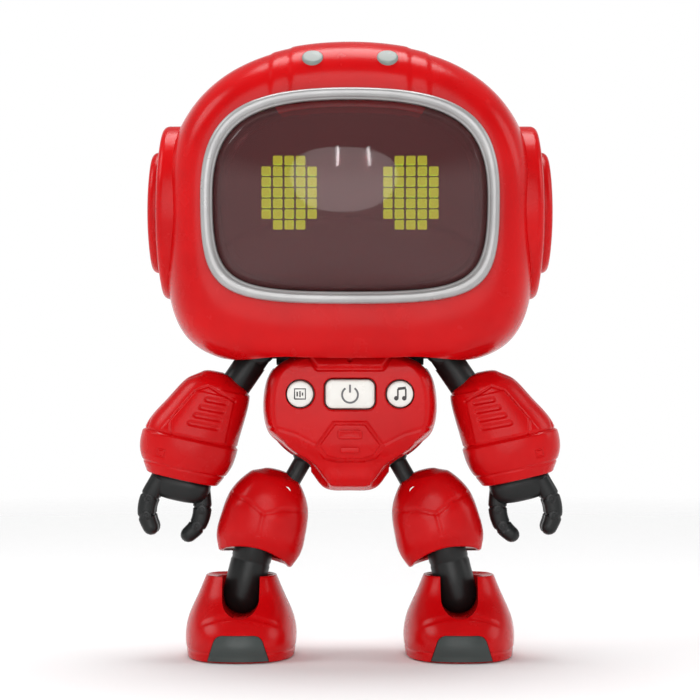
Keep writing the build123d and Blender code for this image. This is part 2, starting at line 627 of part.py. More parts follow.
# ---- shin post: pinned in the thigh, ball in the foot ----
shin = rod_between(knee, ankle, SHIN_RADIUS)
shin += Pos(KNEE_X, 0, KNEE_Z) * Sphere(SHIN_RADIUS)
shin += Pos(ANKLE_X, 0, ANKLE_Z) * Sphere(SHIN_RADIUS)
shin -= rod_x(PIN_RADIUS + RUNNING_GAP, 0, FAR, 0, KNEE_Z)
add_pair("shin_post", shin)

# ---- foot ----
foot_sections = [(0.3, 11.0, 17.0, 9.0), (3.5, 11.4, 17.3, 9.5), (8.2, 10.8, 14.6, 9.2),
                 (12.6, 8.9, 9.4, 8.1), (16.4, 7.3, 6.8, 6.8)]


def foot_form(inset):
    """Rounded toe and squarer heel, narrowing upwards to the ankle collar."""
    faces = []
    for z, half_x, front, back in foot_sections:
        if z == foot_sections[-1][0]:
            z -= inset
        faces.append(level_egg(z, FOOT_X, half_x - inset, front - inset, back - inset, 2.5, 2.9))
    return loft(faces)


foot_outer = foot_form(0.0)
foot = foot_outer - foot_form(1.6)
sole_plan = level_egg(0.0, FOOT_X, 11.0 - SOLE_INSET, 17.0 - SOLE_INSET, 9.0 - SOLE_INSET, 2.5, 2.9)
sole = extrude(sole_plan, amount=SOLE_THICKNESS, dir=(0, 0, 1))
SOLE_SCREW_Y = -8.0
socket_post = rod_z(6.6, SOLE_THICKNESS, FAR, ANKLE_X, 0) & foot_outer
screw_boss = rod_z(2.4, SOLE_THICKNESS, 8.0, FOOT_X, SOLE_SCREW_Y) & foot_outer
foot = foot + socket_post + screw_boss
foot -= extrude(sole_plan, amount=SOLE_THICKNESS, dir=(0, 0, 1))
foot -= Pos(ANKLE_X, 0, ANKLE_Z) * Sphere(SHIN_RADIUS + RUNNING_GAP)
ROLL_CUT_RADIUS = SHIN_RADIUS + 0.3
ankle_up = (ANKLE_X + (KNEE_X - ANKLE_X) * 1.2, ANKLE_Z + (KNEE_Z - ANKLE_Z) * 1.2)
for roll in (-10, -2, 6, 14, 22):
    swing = Pos(ANKLE_X, 0, ANKLE_Z) * Rot(0, roll, 0) * Pos(-ANKLE_X, 0, -ANKLE_Z)
    foot -= swing * rod_between(ankle, ankle_up, ROLL_CUT_RADIUS)
# U-shaped front opening of the socket, narrower than the ball
OPENING_HALF = 3.8
foot -= block((ANKLE_X - OPENING_HALF, ANKLE_X + OPENING_HALF), (-FAR, 0), (ANKLE_Z, FAR))
foot -= rod_y(OPENING_HALF, -FAR, 0, ANKLE_X, ANKLE_Z)

TOE_TOP_Z = 5.6
TOE_BACK_Y = -13.5
toe_plan = make_face(Polyline((FOOT_X - 6.4, 0), (FOOT_X + 6.4, 0), (FOOT_X + 4.6, TOE_TOP_Z),
                              (FOOT_X - 4.6, TOE_TOP_Z), (FOOT_X - 6.4, 0)))
toe_zone = extrude(Plane.XZ * toe_plan, amount=FAR, dir=(0, -1, 0))
toe_zone = toe_zone & block((0, FAR), (-FAR, TOE_BACK_Y), (-1, 20))
toe_cap = (foot_outer & toe_zone) - extrude(sole_plan, amount=SOLE_THICKNESS, dir=(0, 0, 1))
foot = foot - toe_zone
sole_screw = rod_z(SCREW_RADIUS, 1.0, 6.5, FOOT_X, SOLE_SCREW_Y) + rod_z(1.9, 0.4, 1.0, FOOT_X, SOLE_SCREW_Y)
foot -= sole_screw
sole = sole - rod_z(1.9, -1, 1.0, FOOT_X, SOLE_SCREW_Y) - sole_screw
add_pair("foot_shell", foot)
add_pair("toe_cap", toe_cap)
add_pair("sole_plate", sole)
add_pair("sole_screw", sole_screw)

for name, shape in nodes.items():
    export_step(shape, "parts/" + name + ".step")
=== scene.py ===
import bpy
import bmesh
import numpy as np
from math import sin, cos, pi, radians, hypot, sqrt
from mathutils import Vector, Matrix


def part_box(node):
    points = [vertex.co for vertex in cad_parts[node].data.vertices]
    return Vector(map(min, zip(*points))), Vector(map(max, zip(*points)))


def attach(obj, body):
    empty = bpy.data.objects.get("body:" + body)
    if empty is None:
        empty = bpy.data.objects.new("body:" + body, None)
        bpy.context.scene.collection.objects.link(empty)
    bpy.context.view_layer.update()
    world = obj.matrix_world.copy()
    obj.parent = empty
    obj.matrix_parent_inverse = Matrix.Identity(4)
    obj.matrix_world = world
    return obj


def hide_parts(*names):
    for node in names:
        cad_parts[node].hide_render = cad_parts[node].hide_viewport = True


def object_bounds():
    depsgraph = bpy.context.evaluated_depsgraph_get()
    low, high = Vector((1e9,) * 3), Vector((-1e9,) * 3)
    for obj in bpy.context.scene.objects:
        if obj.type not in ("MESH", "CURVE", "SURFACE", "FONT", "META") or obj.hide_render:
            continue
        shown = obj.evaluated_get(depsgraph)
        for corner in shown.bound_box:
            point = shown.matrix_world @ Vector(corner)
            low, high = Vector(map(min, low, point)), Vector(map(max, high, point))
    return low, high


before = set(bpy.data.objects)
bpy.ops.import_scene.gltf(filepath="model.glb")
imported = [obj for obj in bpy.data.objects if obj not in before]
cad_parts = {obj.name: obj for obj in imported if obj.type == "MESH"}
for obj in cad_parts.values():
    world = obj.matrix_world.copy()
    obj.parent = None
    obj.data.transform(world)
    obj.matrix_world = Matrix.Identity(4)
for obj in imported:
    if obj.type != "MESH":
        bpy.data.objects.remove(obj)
cad_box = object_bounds()

MM = 0.001
COLLECTION = bpy.context.scene.collection
# name of each side, and whether its pieces are mirrored from the left ones
SIDES = (("left", False), ("right", True))


# ---------------------------------------------------------------- materials
def new_material(name):
    material = bpy.data.materials.new(name)
    material.use_nodes = True
    tree = material.node_tree
    shader = tree.nodes["Principled BSDF"]
    return material, tree, shader


def noise(tree, scale, detail=3.0, rough=0.55):
    """Noise in object space, so that it stays on the piece at every pose."""
    place = tree.nodes.new("ShaderNodeTexCoord")
    texture = tree.nodes.new("ShaderNodeTexNoise")
    texture.inputs["Scale"].default_value = scale
    texture.inputs["Detail"].default_value = detail
    texture.inputs["Roughness"].default_value = rough
    tree.links.new(place.outputs["Object"], texture.inputs["Vector"])
    return texture.outputs["Fac"]


def remap(tree, value, low, high, from_low=0.0, from_high=1.0):
    node = tree.nodes.new("ShaderNodeMapRange")
    node.inputs["From Min"].default_value = from_low
    node.inputs["From Max"].default_value = from_high
    node.inputs["To Min"].default_value = low
    node.inputs["To Max"].default_value = high
    tree.links.new(value, node.inputs["Value"])
    return node.outputs["Result"]


def edge_wear(tree, start=0.53, full=0.62):
    """1 on sharp convex edges, broken up by noise."""
    geometry = tree.nodes.new("ShaderNodeNewGeometry")
    edges = remap(tree, geometry.outputs["Pointiness"], 0.0, 1.0, start, full)
    breakup = remap(tree, noise(tree, 900.0, 4.0), 0.0, 1.0, 0.42, 0.62)
    multiply = tree.nodes.new("ShaderNodeMath")
    multiply.operation = "MULTIPLY"
    multiply.use_clamp = True
    tree.links.new(edges, multiply.inputs[0])
    tree.links.new(breakup, multiply.inputs[1])
    return multiply.outputs[0]


def mix_colour(tree, factor, first, second):
    node = tree.nodes.new("ShaderNodeMix")
    node.data_type = "RGBA"
    tree.links.new(factor, node.inputs["Factor"])
    for socket, colour in (("A", first), ("B", second)):
        target = [s for s in node.inputs if s.name == socket and s.type == "RGBA"][0]
        if isinstance(colour, tuple):
            target.default_value = (*colour, 1.0)
        else:
            tree.links.new(colour, target)
    return [s for s in node.outputs if s.type == "RGBA"][0]


def add_bump(tree, shader, height, strength, distance):
    bump = tree.nodes.new("ShaderNodeBump")
    bump.inputs["Strength"].default_value = strength
    bump.inputs["Distance"].default_value = distance
    tree.links.new(height, bump.inputs["Height"])
    tree.links.new(bump.outputs["Normal"], shader.inputs["Normal"])


def moulded_plastic(name, colour, deep, worn, rough, texture_scale=1400.0, bump=0.05, coat=0.0,
                    wear=0.5, specular=0.5, metallic=0.0):
    """Injection moulded plastic: faint mottling, uneven gloss, fine surface texture, rubbed edges."""
    material, tree, shader = new_material(name)
    base = mix_colour(tree, remap(tree, noise(tree, 70.0), 0.0, 1.0, 0.35, 0.65), colour, deep)
    amount = tree.nodes.new("ShaderNodeMath")
    amount.operation = "MULTIPLY"
    amount.inputs[1].default_value = wear
    tree.links.new(edge_wear(tree), amount.inputs[0])
    base = mix_colour(tree, amount.outputs[0], base, worn)
    tree.links.new(base, shader.inputs["Base Color"])
    gloss = remap(tree, noise(tree, 160.0, 5.0), rough[0], rough[1], 0.3, 0.7)
    tree.links.new(gloss, shader.inputs["Roughness"])
    add_bump(tree, shader, noise(tree, texture_scale, 2.0), bump, 0.0001)
    shader.inputs["Coat Weight"].default_value = coat
    shader.inputs["Coat Roughness"].default_value = 0.08
    shader.inputs["IOR"].default_value = 1.5
    shader.inputs["Specular IOR Level"].default_value = specular
    shader.inputs["Metallic"].default_value = metallic
    return material


RED = moulded_plastic("red_abs", (0.57, 0.0026, 0.0040), (0.49, 0.0016, 0.003), (0.66, 0.03, 0.03),
                      (0.20, 0.30), texture_scale=900.0, bump=0.04, wear=0.25, specular=0.17)
SOLE_RED = moulded_plastic("sole_red_abs", (0.55, 0.004, 0.006), (0.46, 0.002, 0.004), (0.7, 0.08, 0.07),
                           (0.30, 0.45), texture_scale=1600.0, bump=0.10, specular=0.34)
BLACK = moulded_plastic("black_nylon", (0.012, 0.013, 0.013), (0.007, 0.008, 0.008), (0.07, 0.07, 0.075),
                        (0.28, 0.42), texture_scale=1800.0, bump=0.08, wear=0.6, specular=0.30)
TOE = moulded_plastic("charcoal_plastic", (0.045, 0.056, 0.053), (0.032, 0.040, 0.038), (0.12, 0.13, 0.13),
                      (0.34, 0.50), texture_scale=1500.0, bump=0.12, specular=0.40)
SILVER = moulded_plastic("silver_paint", (0.40, 0.395, 0.395), (0.33, 0.325, 0.325), (0.55, 0.55, 0.55),
                         (0.26, 0.38), texture_scale=2600.0, bump=0.06, coat=0.15, wear=0.4, metallic=0.35)
GREY = moulded_plastic("grey_plastic", (0.22, 0.25, 0.235), (0.18, 0.205, 0.19), (0.36, 0.39, 0.37),
                       (0.30, 0.42), texture_scale=1500.0, bump=0.08, wear=0.4)
WHITE = moulded_plastic("white_plastic", (0.80, 0.785, 0.745), (0.74, 0.725, 0.68), (0.88, 0.87, 0.84),
                        (0.20, 0.32), texture_scale=1200.0, bump=0.04, coat=0.1, wear=0.3)
INK = moulded_plastic("icon_ink", (0.05, 0.045, 0.045), (0.035, 0.03, 0.03), (0.10, 0.09, 0.09),
                      (0.45, 0.60), texture_scale=1500.0, wear=0.2)
GREY_INK = moulded_plastic("grey_icon_ink", (0.16, 0.16, 0.165), (0.12, 0.12, 0.125), (0.2, 0.2, 0.2),
                           (0.45, 0.60), texture_scale=1500.0, wear=0.2)
MASK = moulded_plastic("mask_print", (0.030, 0.008, 0.009), (0.018, 0.006, 0.007), (0.05, 0.02, 0.02),
                       (0.35, 0.50), texture_scale=700.0, bump=0.06, wear=0.2, specular=0.3)
RUBBER = moulded_plastic("pad_silicone", (0.42, 0.42, 0.40), (0.36, 0.36, 0.34), (0.5, 0.5, 0.48),
                         (0.55, 0.75), texture_scale=900.0, bump=0.15, wear=0.1)
BOARD = moulded_plastic("solder_mask", (0.010, 0.11, 0.04), (0.008, 0.08, 0.03), (0.3, 0.25, 0.1),
                        (0.30, 0.45), texture_scale=500.0, bump=0.10)


def plated_steel():
    material, tree, shader = new_material("zinc_plate")
    spots = remap(tree, noise(tree, 240.0, 5.0), 0.0, 1.0, 0.3, 0.7)
    base = mix_colour(tree, spots, (0.60, 0.59, 0.56), (0.46, 0.45, 0.43))
    tree.links.new(base, shader.inputs["Base Color"])
    shader.inputs["Metallic"].default_value = 1.0
    tree.links.new(remap(tree, noise(tree, 700.0, 4.0), 0.25, 0.45), shader.inputs["Roughness"])
    add_bump(tree, shader, noise(tree, 1500.0, 3.0), 0.15, 0.0001)
    return material


def smoked_polycarbonate():
    material, tree, shader = new_material("smoked_polycarbonate")
    tint = mix_colour(tree, noise(tree, 40.0), (0.36, 0.12, 0.125), (0.31, 0.10, 0.105))
    tree.links.new(tint, shader.inputs["Base Color"])
    shader.inputs["Transmission Weight"].default_value = 0.84
    shader.inputs["IOR"].default_value = 1.45
    tree.links.new(remap(tree, noise(tree, 120.0, 4.0), 0.03, 0.09), shader.inputs["Roughness"])
    add_bump(tree, shader, noise(tree, 60.0, 1.0), 0.02, 0.0002)
    shader.inputs["Specular IOR Level"].default_value = 0.24
    return material


def lit_cells():
    material, tree, shader = new_material("eye_cell_light")
    hot = mix_colour(tree, noise(tree, 260.0, 2.0), (0.31, 1.0, 0.035), (0.26, 0.86, 0.025))
    tree.links.new(hot, shader.inputs["Base Color"])
    tree.links.new(hot, shader.inputs["Emission Color"])
    shader.inputs["Emission Strength"].default_value = 4.6
    tree.links.new(remap(tree, noise(tree, 600.0), 0.3, 0.5), shader.inputs["Roughness"])
    add_bump(tree, shader, noise(tree, 1500.0, 2.0), 0.1, 0.0001)
    return material


STEEL = plated_steel()
LENS = smoked_polycarbonate()
CELLS = lit_cells()


# ---------------------------------------------------------------- mesh helpers
def corner_reach(squareness):
    """Handle length that makes a cubic quarter curve follow a superellipse of this squareness."""
    return (8 * 2 ** (-1 / squareness) - 4) / 3


def egg(half_x, up, down, k_up, k_down, count):
    """Closed oval from four cubic quarter curves, as count points (x, z) from +X round by +Z."""
    quarter = count // 4
    s = np.arange(quarter) / quarter
    along = (1 - s) ** 3 + 3 * s * (1 - s) ** 2
    rise = 3 * s * s * (1 - s) + s ** 3
    handle_a = 3 * s * (1 - s) ** 2
    handle_b = 3 * s * s * (1 - s)
    xs = []
    zs = []
    for sign_x, sign_z, height, k, backwards in ((1, 1, up, k_up, 0), (-1, 1, up, k_up, 1),
                                                 (-1, -1, down, k_down, 0), (1, -1, down, k_down, 1)):
        x = along + k * handle_b
        z = rise + k * handle_a
        if backwards:
            # the quarter mirrored, starting where the last one ended
            x, z = (rise + k * handle_a), (along + k * handle_b)
        xs.append(sign_x * half_x * x)
        zs.append(sign_z * height * z)
    return np.stack([np.concatenate(xs), np.concatenate(zs)], axis=1)


def around(count, start=0.0):
    """Equally spaced angles round a circle; start is the share of a step before the first."""
    return (np.arange(count) + start) * 2 * pi / count


def ring_of(x, y, z):
    """A ring of points (around, xyz) from its coordinates, any of which may be a single number."""
    return np.stack(np.broadcast_arrays(x, y, z), axis=1)


def ring_faces(rings, count, closed):
    faces = []
    last = rings if closed else rings - 1
    for r in range(last):
        a = r * count
        b = ((r + 1) % rings) * count
        for i in range(count):
            j = (i + 1) % count
            faces.append((a + i, a + j, b + j, b + i))
    return faces


def normals_of(grid):
    """Unit normals of a grid of closed rings (ring, around, xyz)."""
    around = np.roll(grid, -1, axis=1) - np.roll(grid, 1, axis=1)
    along = np.gradient(grid, axis=0)
    normal = np.cross(around, along)
    length = np.linalg.norm(normal, axis=2, keepdims=True)
    return normal / np.maximum(length, 1e-9)


def displaced(grid, height, outward):
    """Grid moved along its normals by height(points); outward is a point the normals face away from."""
    normal = normals_of(grid)
    away = grid - np.asarray(outward, dtype=float)
    flip = np.sign(np.sum(normal * away))
    return grid + normal * flip * height(grid)[..., None]


class Solid:
    """Points in millimetres and faces, gathered before they become one Blender mesh."""

    def __init__(self):
        self.points = []
        self.faces = []

    def add(self, points, faces):
        base = len(self.points)
        self.points.extend([tuple(float(c) for c in p) for p in points])
        self.faces.extend([tuple(base + i for i in f) for f in faces])

    def add_rings(self, grid, closed=False):
        """Skin over rings (ring, around, xyz): a closed loop of them, or with a fan on each end."""
        grid = np.asarray(grid, dtype=float)
        rings, count = grid.shape[:2]
        points = [tuple(p) for p in grid.reshape(-1, 3)]
        faces = ring_faces(rings, count, closed)
        if not closed:
            for index in (0, rings - 1):
                points.append(tuple(grid[index].mean(axis=0)))
                hub = len(points) - 1
                base = index * count
                for i in range(count):
                    j = (i + 1) % count
                    faces.append((hub, base + j, base + i) if index == 0 else (hub, base + i, base + j))
        self.add(points, faces)


def skin(rings, closed=False):
    """A Solid that is one skin over rings."""
    solid = Solid()
    solid.add_rings(rings, closed)
    return solid


def smoothstep(value, low, high):
    t = np.clip((value - low) / (high - low), 0.0, 1.0)
    return t * t * (3 - 2 * t)


def seam_line(y, width=0.2, depth=0.2):
    """The fine groove where the two halves of a piece meet, at y = 0."""
    return -depth * np.exp(-(y / width) ** 2)


def groove(distance, width, depth):
    """A rounded channel: depth below the surface at distance 0."""
    return -depth * np.exp(-(distance / (width * 0.5)) ** 4)


def segment_distance(a, b, start, end):
    """Distance in a plane from points (a, b) to a straight segment."""
    d = (end[0] - start[0], end[1] - start[1])
    length = d[0] ** 2 + d[1] ** 2
    t = np.clip(((a - start[0]) * d[0] + (b - start[1]) * d[1]) / length, 0, 1)
    return np.hypot(a - start[0] - t * d[0], b - start[1] - t * d[1])


def path_distance(a, b, points):
    best = None
    for start, end in zip(points, points[1:]):
        d = segment_distance(a, b, start, end)
        best = d if best is None else np.minimum(best, d)
    return best


def make_piece(name, solid, body, material, replaces=(), angle=32, mirrored=False, matrix=None):
    """Blender mesh from gathered points, with clean outward normals, riding on a body."""
    mesh = bpy.data.meshes.new(name)
    points = np.array(solid.points, dtype=float) * MM
    if matrix is not None:
        points = points @ np.array(matrix.to_3x3()).T + np.array(matrix.translation)
    faces = solid.faces
    if mirrored:
        points = points * np.array([-1.0, 1.0, 1.0])
    mesh.from_pydata(points.tolist(), [], faces)
    bm = bmesh.new()
    bm.from_mesh(mesh)
    bmesh.ops.remove_doubles(bm, verts=bm.verts, dist=1e-6)
    bmesh.ops.recalc_face_normals(bm, faces=bm.faces)
    bm.to_mesh(mesh)
    bm.free()
    piece = bpy.data.objects.new(name, mesh)
    COLLECTION.objects.link(piece)
    mesh.materials.append(material)
    mesh.shade_smooth()
    mesh.set_sharp_from_angle(angle=radians(angle))
    if body:
        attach(piece, body)
        if replaces:
            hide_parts(*replaces)
    return piece


def cut(piece, cutters, angle=32):
    """Boolean difference applied to the mesh; the cutters are removed."""
    bpy.context.view_layer.update()
    for cutter in cutters:
        modifier = piece.modifiers.new("cut", "BOOLEAN")
        modifier.operation = "DIFFERENCE"
        modifier.solver = "EXACT"
        modifier.object = cutter
    depsgraph = bpy.context.evaluated_depsgraph_get()
    mesh = bpy.data.meshes.new_from_object(piece.evaluated_get(depsgraph))
    piece.modifiers.clear()
    old = piece.data
    material = old.materials[0]
    piece.data = mesh
    bpy.data.meshes.remove(old)
    for cutter in cutters:
        bpy.data.objects.remove(cutter)
    mesh.materials.clear()
    mesh.materials.append(material)
    for polygon in mesh.polygons:
        polygon.material_index = 0
    mesh.shade_smooth()
    mesh.set_sharp_from_angle(angle=radians(angle))


def loose(name, solid):
    """An object that isn't a piece, used only as a cutter."""
    return make_piece(name, solid, None, RED)


def circle_about(axis, count):
    """The unit axis, and the points of a unit circle round it."""
    axis = np.array(axis, dtype=float)
    axis /= np.linalg.norm(axis)
    side = np.cross(axis, (0, 0, 1.0) if abs(axis[2]) < 0.9 else (1.0, 0, 0))
    side /= np.linalg.norm(side)
    other = np.cross(axis, side)
    turn = around(count)
    return axis, np.cos(turn)[:, None] * side + np.sin(turn)[:, None] * other


def round_bar(start, end, radius, count=32, solid=None):
    """Cylinder between two points."""
    start = np.array(start, dtype=float)
    end = np.array(end, dtype=float)
    ring = circle_about(end - start, count)[1]
    solid = solid or Solid()
    solid.add_rings([start + ring * radius, end + ring * radius])
    return solid


def lathe(profile, centre, axis, count=64, solid=None):
    """Solid of revolution: profile is (radius, distance along axis) from one pole to the other."""
    axis, ring = circle_about(axis, count)
    solid = solid or Solid()
    solid.add_rings([np.array(centre) + ring * max(radius, 0.001) + axis * along
                     for radius, along in profile])
    return solid


# ---------------------------------------------------------------- frame sizes in millimetres
def node_box(node):
    low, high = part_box(node)
    return np.array(low) / MM, np.array(high) / MM


bezel_low, bezel_high = node_box("visor_bezel")
LENS_FRONT_Y = node_box("visor_lens")[0][1]
FACE_Y = bezel_high[1]
FACE_MID_Z = (bezel_low[2] + bezel_high[2]) / 2
FACE_HALF_WIDTH = (bezel_high[0] - bezel_low[0]) / 2
FACE_HALF_HEIGHT = (bezel_high[2] - bezel_low[2]) / 2
BEZEL_WIDTH = 2.5
HEAD_HALF_WIDTH = 38.2
HEAD_TOP_Z = 126.0
HEAD_BOTTOM_Z = 59.3
HEAD_MID_Z = 92.9
HEAD_BACK_Y = 26.0
WALL = 1.8
RECESS_HALF_X = 27.0
RECESS_HALF_Y = 15.0
RECESS_ROOF_Z = 67.6


# ---------------------------------------------------------------- head shells
HEAD_COUNT = 512


def head_ring_front(turn, inset):
    side = sin(radians(turn)) ** 0.8
    reach = cos(radians(turn)) ** 0.8 if turn < 90 else 0.0
    under = (1 - reach ** 4) ** 0.25
    mid = FACE_MID_Z + (HEAD_MID_Z - FACE_MID_Z) * side
    half = FACE_HALF_WIDTH + (HEAD_HALF_WIDTH - FACE_HALF_WIDTH) * side - inset
    up = FACE_HALF_HEIGHT + (HEAD_TOP_Z - HEAD_MID_Z - FACE_HALF_HEIGHT) * side - inset
    down = FACE_HALF_HEIGHT + (HEAD_MID_Z - HEAD_BOTTOM_Z - FACE_HALF_HEIGHT) * under - inset
    flat = egg(half, up, down, corner_reach(2.6 - 0.3 * side), corner_reach(4.2), HEAD_COUNT)
    y = (FACE_Y + inset) * reach
    return ring_of(flat[:, 0], y, mid + flat[:, 1])


def head_ring_rear(turn, inset):
    shrink = max(cos(radians(turn)), 0.0) ** 0.8
    reach = sin(radians(turn)) ** 0.8
    under = max(1 - reach ** 3.4, 0.0) ** (1 / 3.4)
    half = (HEAD_HALF_WIDTH - inset) * shrink
    up = (HEAD_TOP_Z - HEAD_MID_Z - inset) * shrink
    down = (HEAD_MID_Z - HEAD_BOTTOM_Z - inset) * under
    flat = egg(half, up, down, corner_reach(2.3), corner_reach(4.2 - 0.8 * reach), HEAD_COUNT)
    y = (HEAD_BACK_Y - inset) * reach
    return ring_of(flat[:, 0], y, HEAD_MID_Z + flat[:, 1])


def head_relief(p):
    """Raised crown band with a lower step on each side, and the groove along the seam."""
    x = np.abs(p[..., 0])
    on_top = smoothstep(p[..., 2], 104.0, 110.0)
    band = 0.24 * (1 - smoothstep(x, 11.4, 12.4)) + 0.22 * (1 - smoothstep(x, 15.4, 16.4))
    return on_top * band + seam_line(p[..., 1], 0.22, 0.22)


FRONT_TURNS = [0, 1.5, 3, 5, 8] + [12 + 3 * i for i in range(25)] + [87, 88.5, 89.4, 90]
REAR_TURNS = [0, 0.5, 1.2, 2.5] + [5 + 3 * i for i in range(27)] + [85.5, 87.5, 89]


def head_front():
    outer = np.array([head_ring_front(t, 0.0) for t in FRONT_TURNS])
    outer = displaced(outer, head_relief, (0, 0, HEAD_MID_Z))
    inner = np.array([head_ring_front(t, WALL) for t in FRONT_TURNS[::-3]])
    opening = [head_ring_front(0, WALL), face_ring(5.5, FACE_Y + WALL), face_ring(5.5, FACE_Y)]
    return skin(np.concatenate([outer, inner, opening]), closed=True)


def face_ring(inset, y, count=HEAD_COUNT):
    flat = egg(FACE_HALF_WIDTH - inset, FACE_HALF_HEIGHT - inset, FACE_HALF_HEIGHT - inset,
               corner_reach(2.8), corner_reach(4.0), count)
    return ring_of(flat[:, 0], y, FACE_MID_Z + flat[:, 1])


def head_rear():
    outer = np.array([head_ring_rear(t, 0.0) for t in REAR_TURNS])
    outer = displaced(outer, head_relief, (0, 0, HEAD_MID_Z))
    inner = np.array([head_ring_rear(t, WALL) for t in REAR_TURNS[::3]])
    return skin(np.concatenate([outer[::-1], inner]))


def stadium_ring(half_x, half_y, z, count=96):
    turn = around(count, 0.5)
    x = np.cos(turn) * half_y + np.sign(np.cos(turn)) * (half_x - half_y)
    return ring_of(x, np.sin(turn) * half_y, z)


def recess_cutter():
    rings = [stadium_ring(RECESS_HALF_X, RECESS_HALF_Y, z) for z in (50, RECESS_ROOF_Z)]
    return loose("recess_cutter", skin(rings))


SPEAKER_Z = 93.0
GRILLE_HOLE_RADIUS = 0.9
SCREW_WELL_RADIUS = 2.1
HEAD_SCREWS = [(sx * 21.0, z) for sx in (-1, 1) for z in (76.0, 110.0)]


def build_head():
    front = make_piece("helmet_front", head_front(), "head", RED, ["head_front_shell"])
    cut(front, [recess_cutter()])
    rear = make_piece("helmet_rear", head_rear(), "head", RED, ["head_rear_shell"])
    holes = Solid()
    places = [(0.0, SPEAKER_Z)]
    for ring, count in ((4.0, 6), (8.0, 12)):
        for i in range(count):
            turn = 2 * pi * i / count
            places.append((ring * cos(turn), SPEAKER_Z + ring * sin(turn)))
    for x, z in places:
        round_bar((x, 20, z), (x, 30, z), GRILLE_HOLE_RADIUS, 20, holes)
    for x, z in HEAD_SCREWS:
        round_bar((x, 9.5, z), (x, 30, z), SCREW_WELL_RADIUS, solid=holes)
    cut(rear, [recess_cutter(), loose("rear_holes", holes)])
    # cup that closes the recess above the shoulder yoke
    cup_low = 63.5
    roof = (RECESS_ROOF_Z + WALL, RECESS_ROOF_Z)
    outer = [stadium_ring(RECESS_HALF_X + 1.3, RECESS_HALF_Y + 1.2, z) for z in (cup_low, roof[0])]
    neck = [stadium_ring(4.3, 4.25, z) for z in roof]
    inner = [stadium_ring(RECESS_HALF_X + 0.02, RECESS_HALF_Y + 0.02, z) for z in (roof[1], cup_low)]
    make_piece("helmet_neck_cup", skin(outer + neck + inner, closed=True), "head", RED)


build_head()


# ---------------------------------------------------------------- visor
def build_visor():
    profile = [(0.02, 0.0), (0.0, -1.2), (0.12, -1.75), (0.45, -2.1), (0.95, -2.2), (1.5, -2.12),
               (1.85, -1.95), (2.0, -1.7), (2.1, -1.66), (2.3, -1.6), (2.42, -1.4), (2.46, -1.0),
               (2.46, 0.0)]
    rings = [face_ring(inset, FACE_Y + y) for inset, y in profile]
    make_piece("bezel", skin(rings, closed=True), "head", SILVER, ["visor_bezel"], angle=50)
    # dark ring between the bezel and the mask panel, in the mask's colour, painted as the shade in the gap
    # along the bezel
    corners = ((2.45, 0.2), (2.45, -0.015), (5.52, -0.015), (5.52, 0.2))
    gap_shade_rings = [face_ring(inset, FACE_Y + y) for inset, y in corners]
    make_piece("bezel_gap_painted_shade", skin(gap_shade_rings, closed=True), "head", MASK)

    def lens_surface(inset, lift):
        rings = []
        for i in range(49):
            rho = 1.0 - i / 48.0 if i < 48 else 0.004
            k_up = corner_reach(2.0) + (corner_reach(2.8) - corner_reach(2.0)) * rho ** 2
            k_down = corner_reach(2.0) + (corner_reach(4.0) - corner_reach(2.0)) * rho ** 2
            half_x = (FACE_HALF_WIDTH - BEZEL_WIDTH - inset) * rho
            half_z = (FACE_HALF_HEIGHT - BEZEL_WIDTH - inset) * rho
            flat = egg(half_x, half_z, half_z, k_up, k_down, 256)
            bulge = (1 - rho ** 2.2) ** 0.85
            y = FACE_Y - 0.6 - (abs(LENS_FRONT_Y - FACE_Y) - 0.6) * bulge + lift
            rings.append(ring_of(flat[:, 0], y, FACE_MID_Z + flat[:, 1]))
        return rings

    outer = lens_surface(0.02, 0.0)
    inner = lens_surface(1.3, 1.2)
    edge = [face_ring(BEZEL_WIDTH + inset, FACE_Y - 0.02, 256) for inset in (0.02, 1.3)]
    make_piece("lens", skin(outer[::-1] + edge + inner), "head", LENS, ["visor_lens"],
               angle=40)


build_visor()


def rounded_box(centre, size, radius, solid):
    """Box with softened front edges, for the eye cells: front faces -Y."""
    cx, cy, cz = centre
    hx, hy, hz = size[0] / 2, size[1] / 2, size[2] / 2
    rings = []
    for inset, y in ((0.0, hy), (0.0, -hy + radius), (radius * 0.35, -hy + radius * 0.3), (radius, -hy)):
        ring = []
        corner = max(radius - inset, 0.05)
        for sx, sz, start in ((1, 1, 0), (-1, 1, 90), (-1, -1, 180), (1, -1, 270)):
            for step in range(4):
                a = radians(start + 30 * step)
                ring.append((cx + sx * (hx - inset - corner) + corner * cos(a), cy + y,
                             cz + sz * (hz - inset - corner) + corner * sin(a)))
        rings.append(ring)
    solid.add_rings(rings)


def build_eyes():
    low, high = node_box("eye_cells")
    pitch_x = 2.28
    pitch_z = 2.13
    cell = 1.84
    eye_x = (high[0] - low[0] - cell - 4 * pitch_x) / 2
    mid_z = (high[2] + low[2]) / 2
    solid = Solid()
    for side in (-1, 1):
        for column in range(5):
            for row in range(7):
                if column in (0, 4) and row in (0, 6):
                    continue
                x = side * eye_x + (column - 2) * pitch_x
                z = mid_z + (row - 3) * pitch_z
                rounded_box((x, (low[1] + high[1]) / 2, z), (cell, high[1] - low[1], cell), 0.22, solid)
    make_piece("eye_pixels", solid, "head", CELLS, ["eye_cells"], angle=40)


build_eyes()

# ---------------------------------------------------------------- ears
EAR_MID_Z = 91.4
EAR_COVER_HALF = (14.8, 17.9)
EAR_CAP_HALF = (9.6, 12.5)


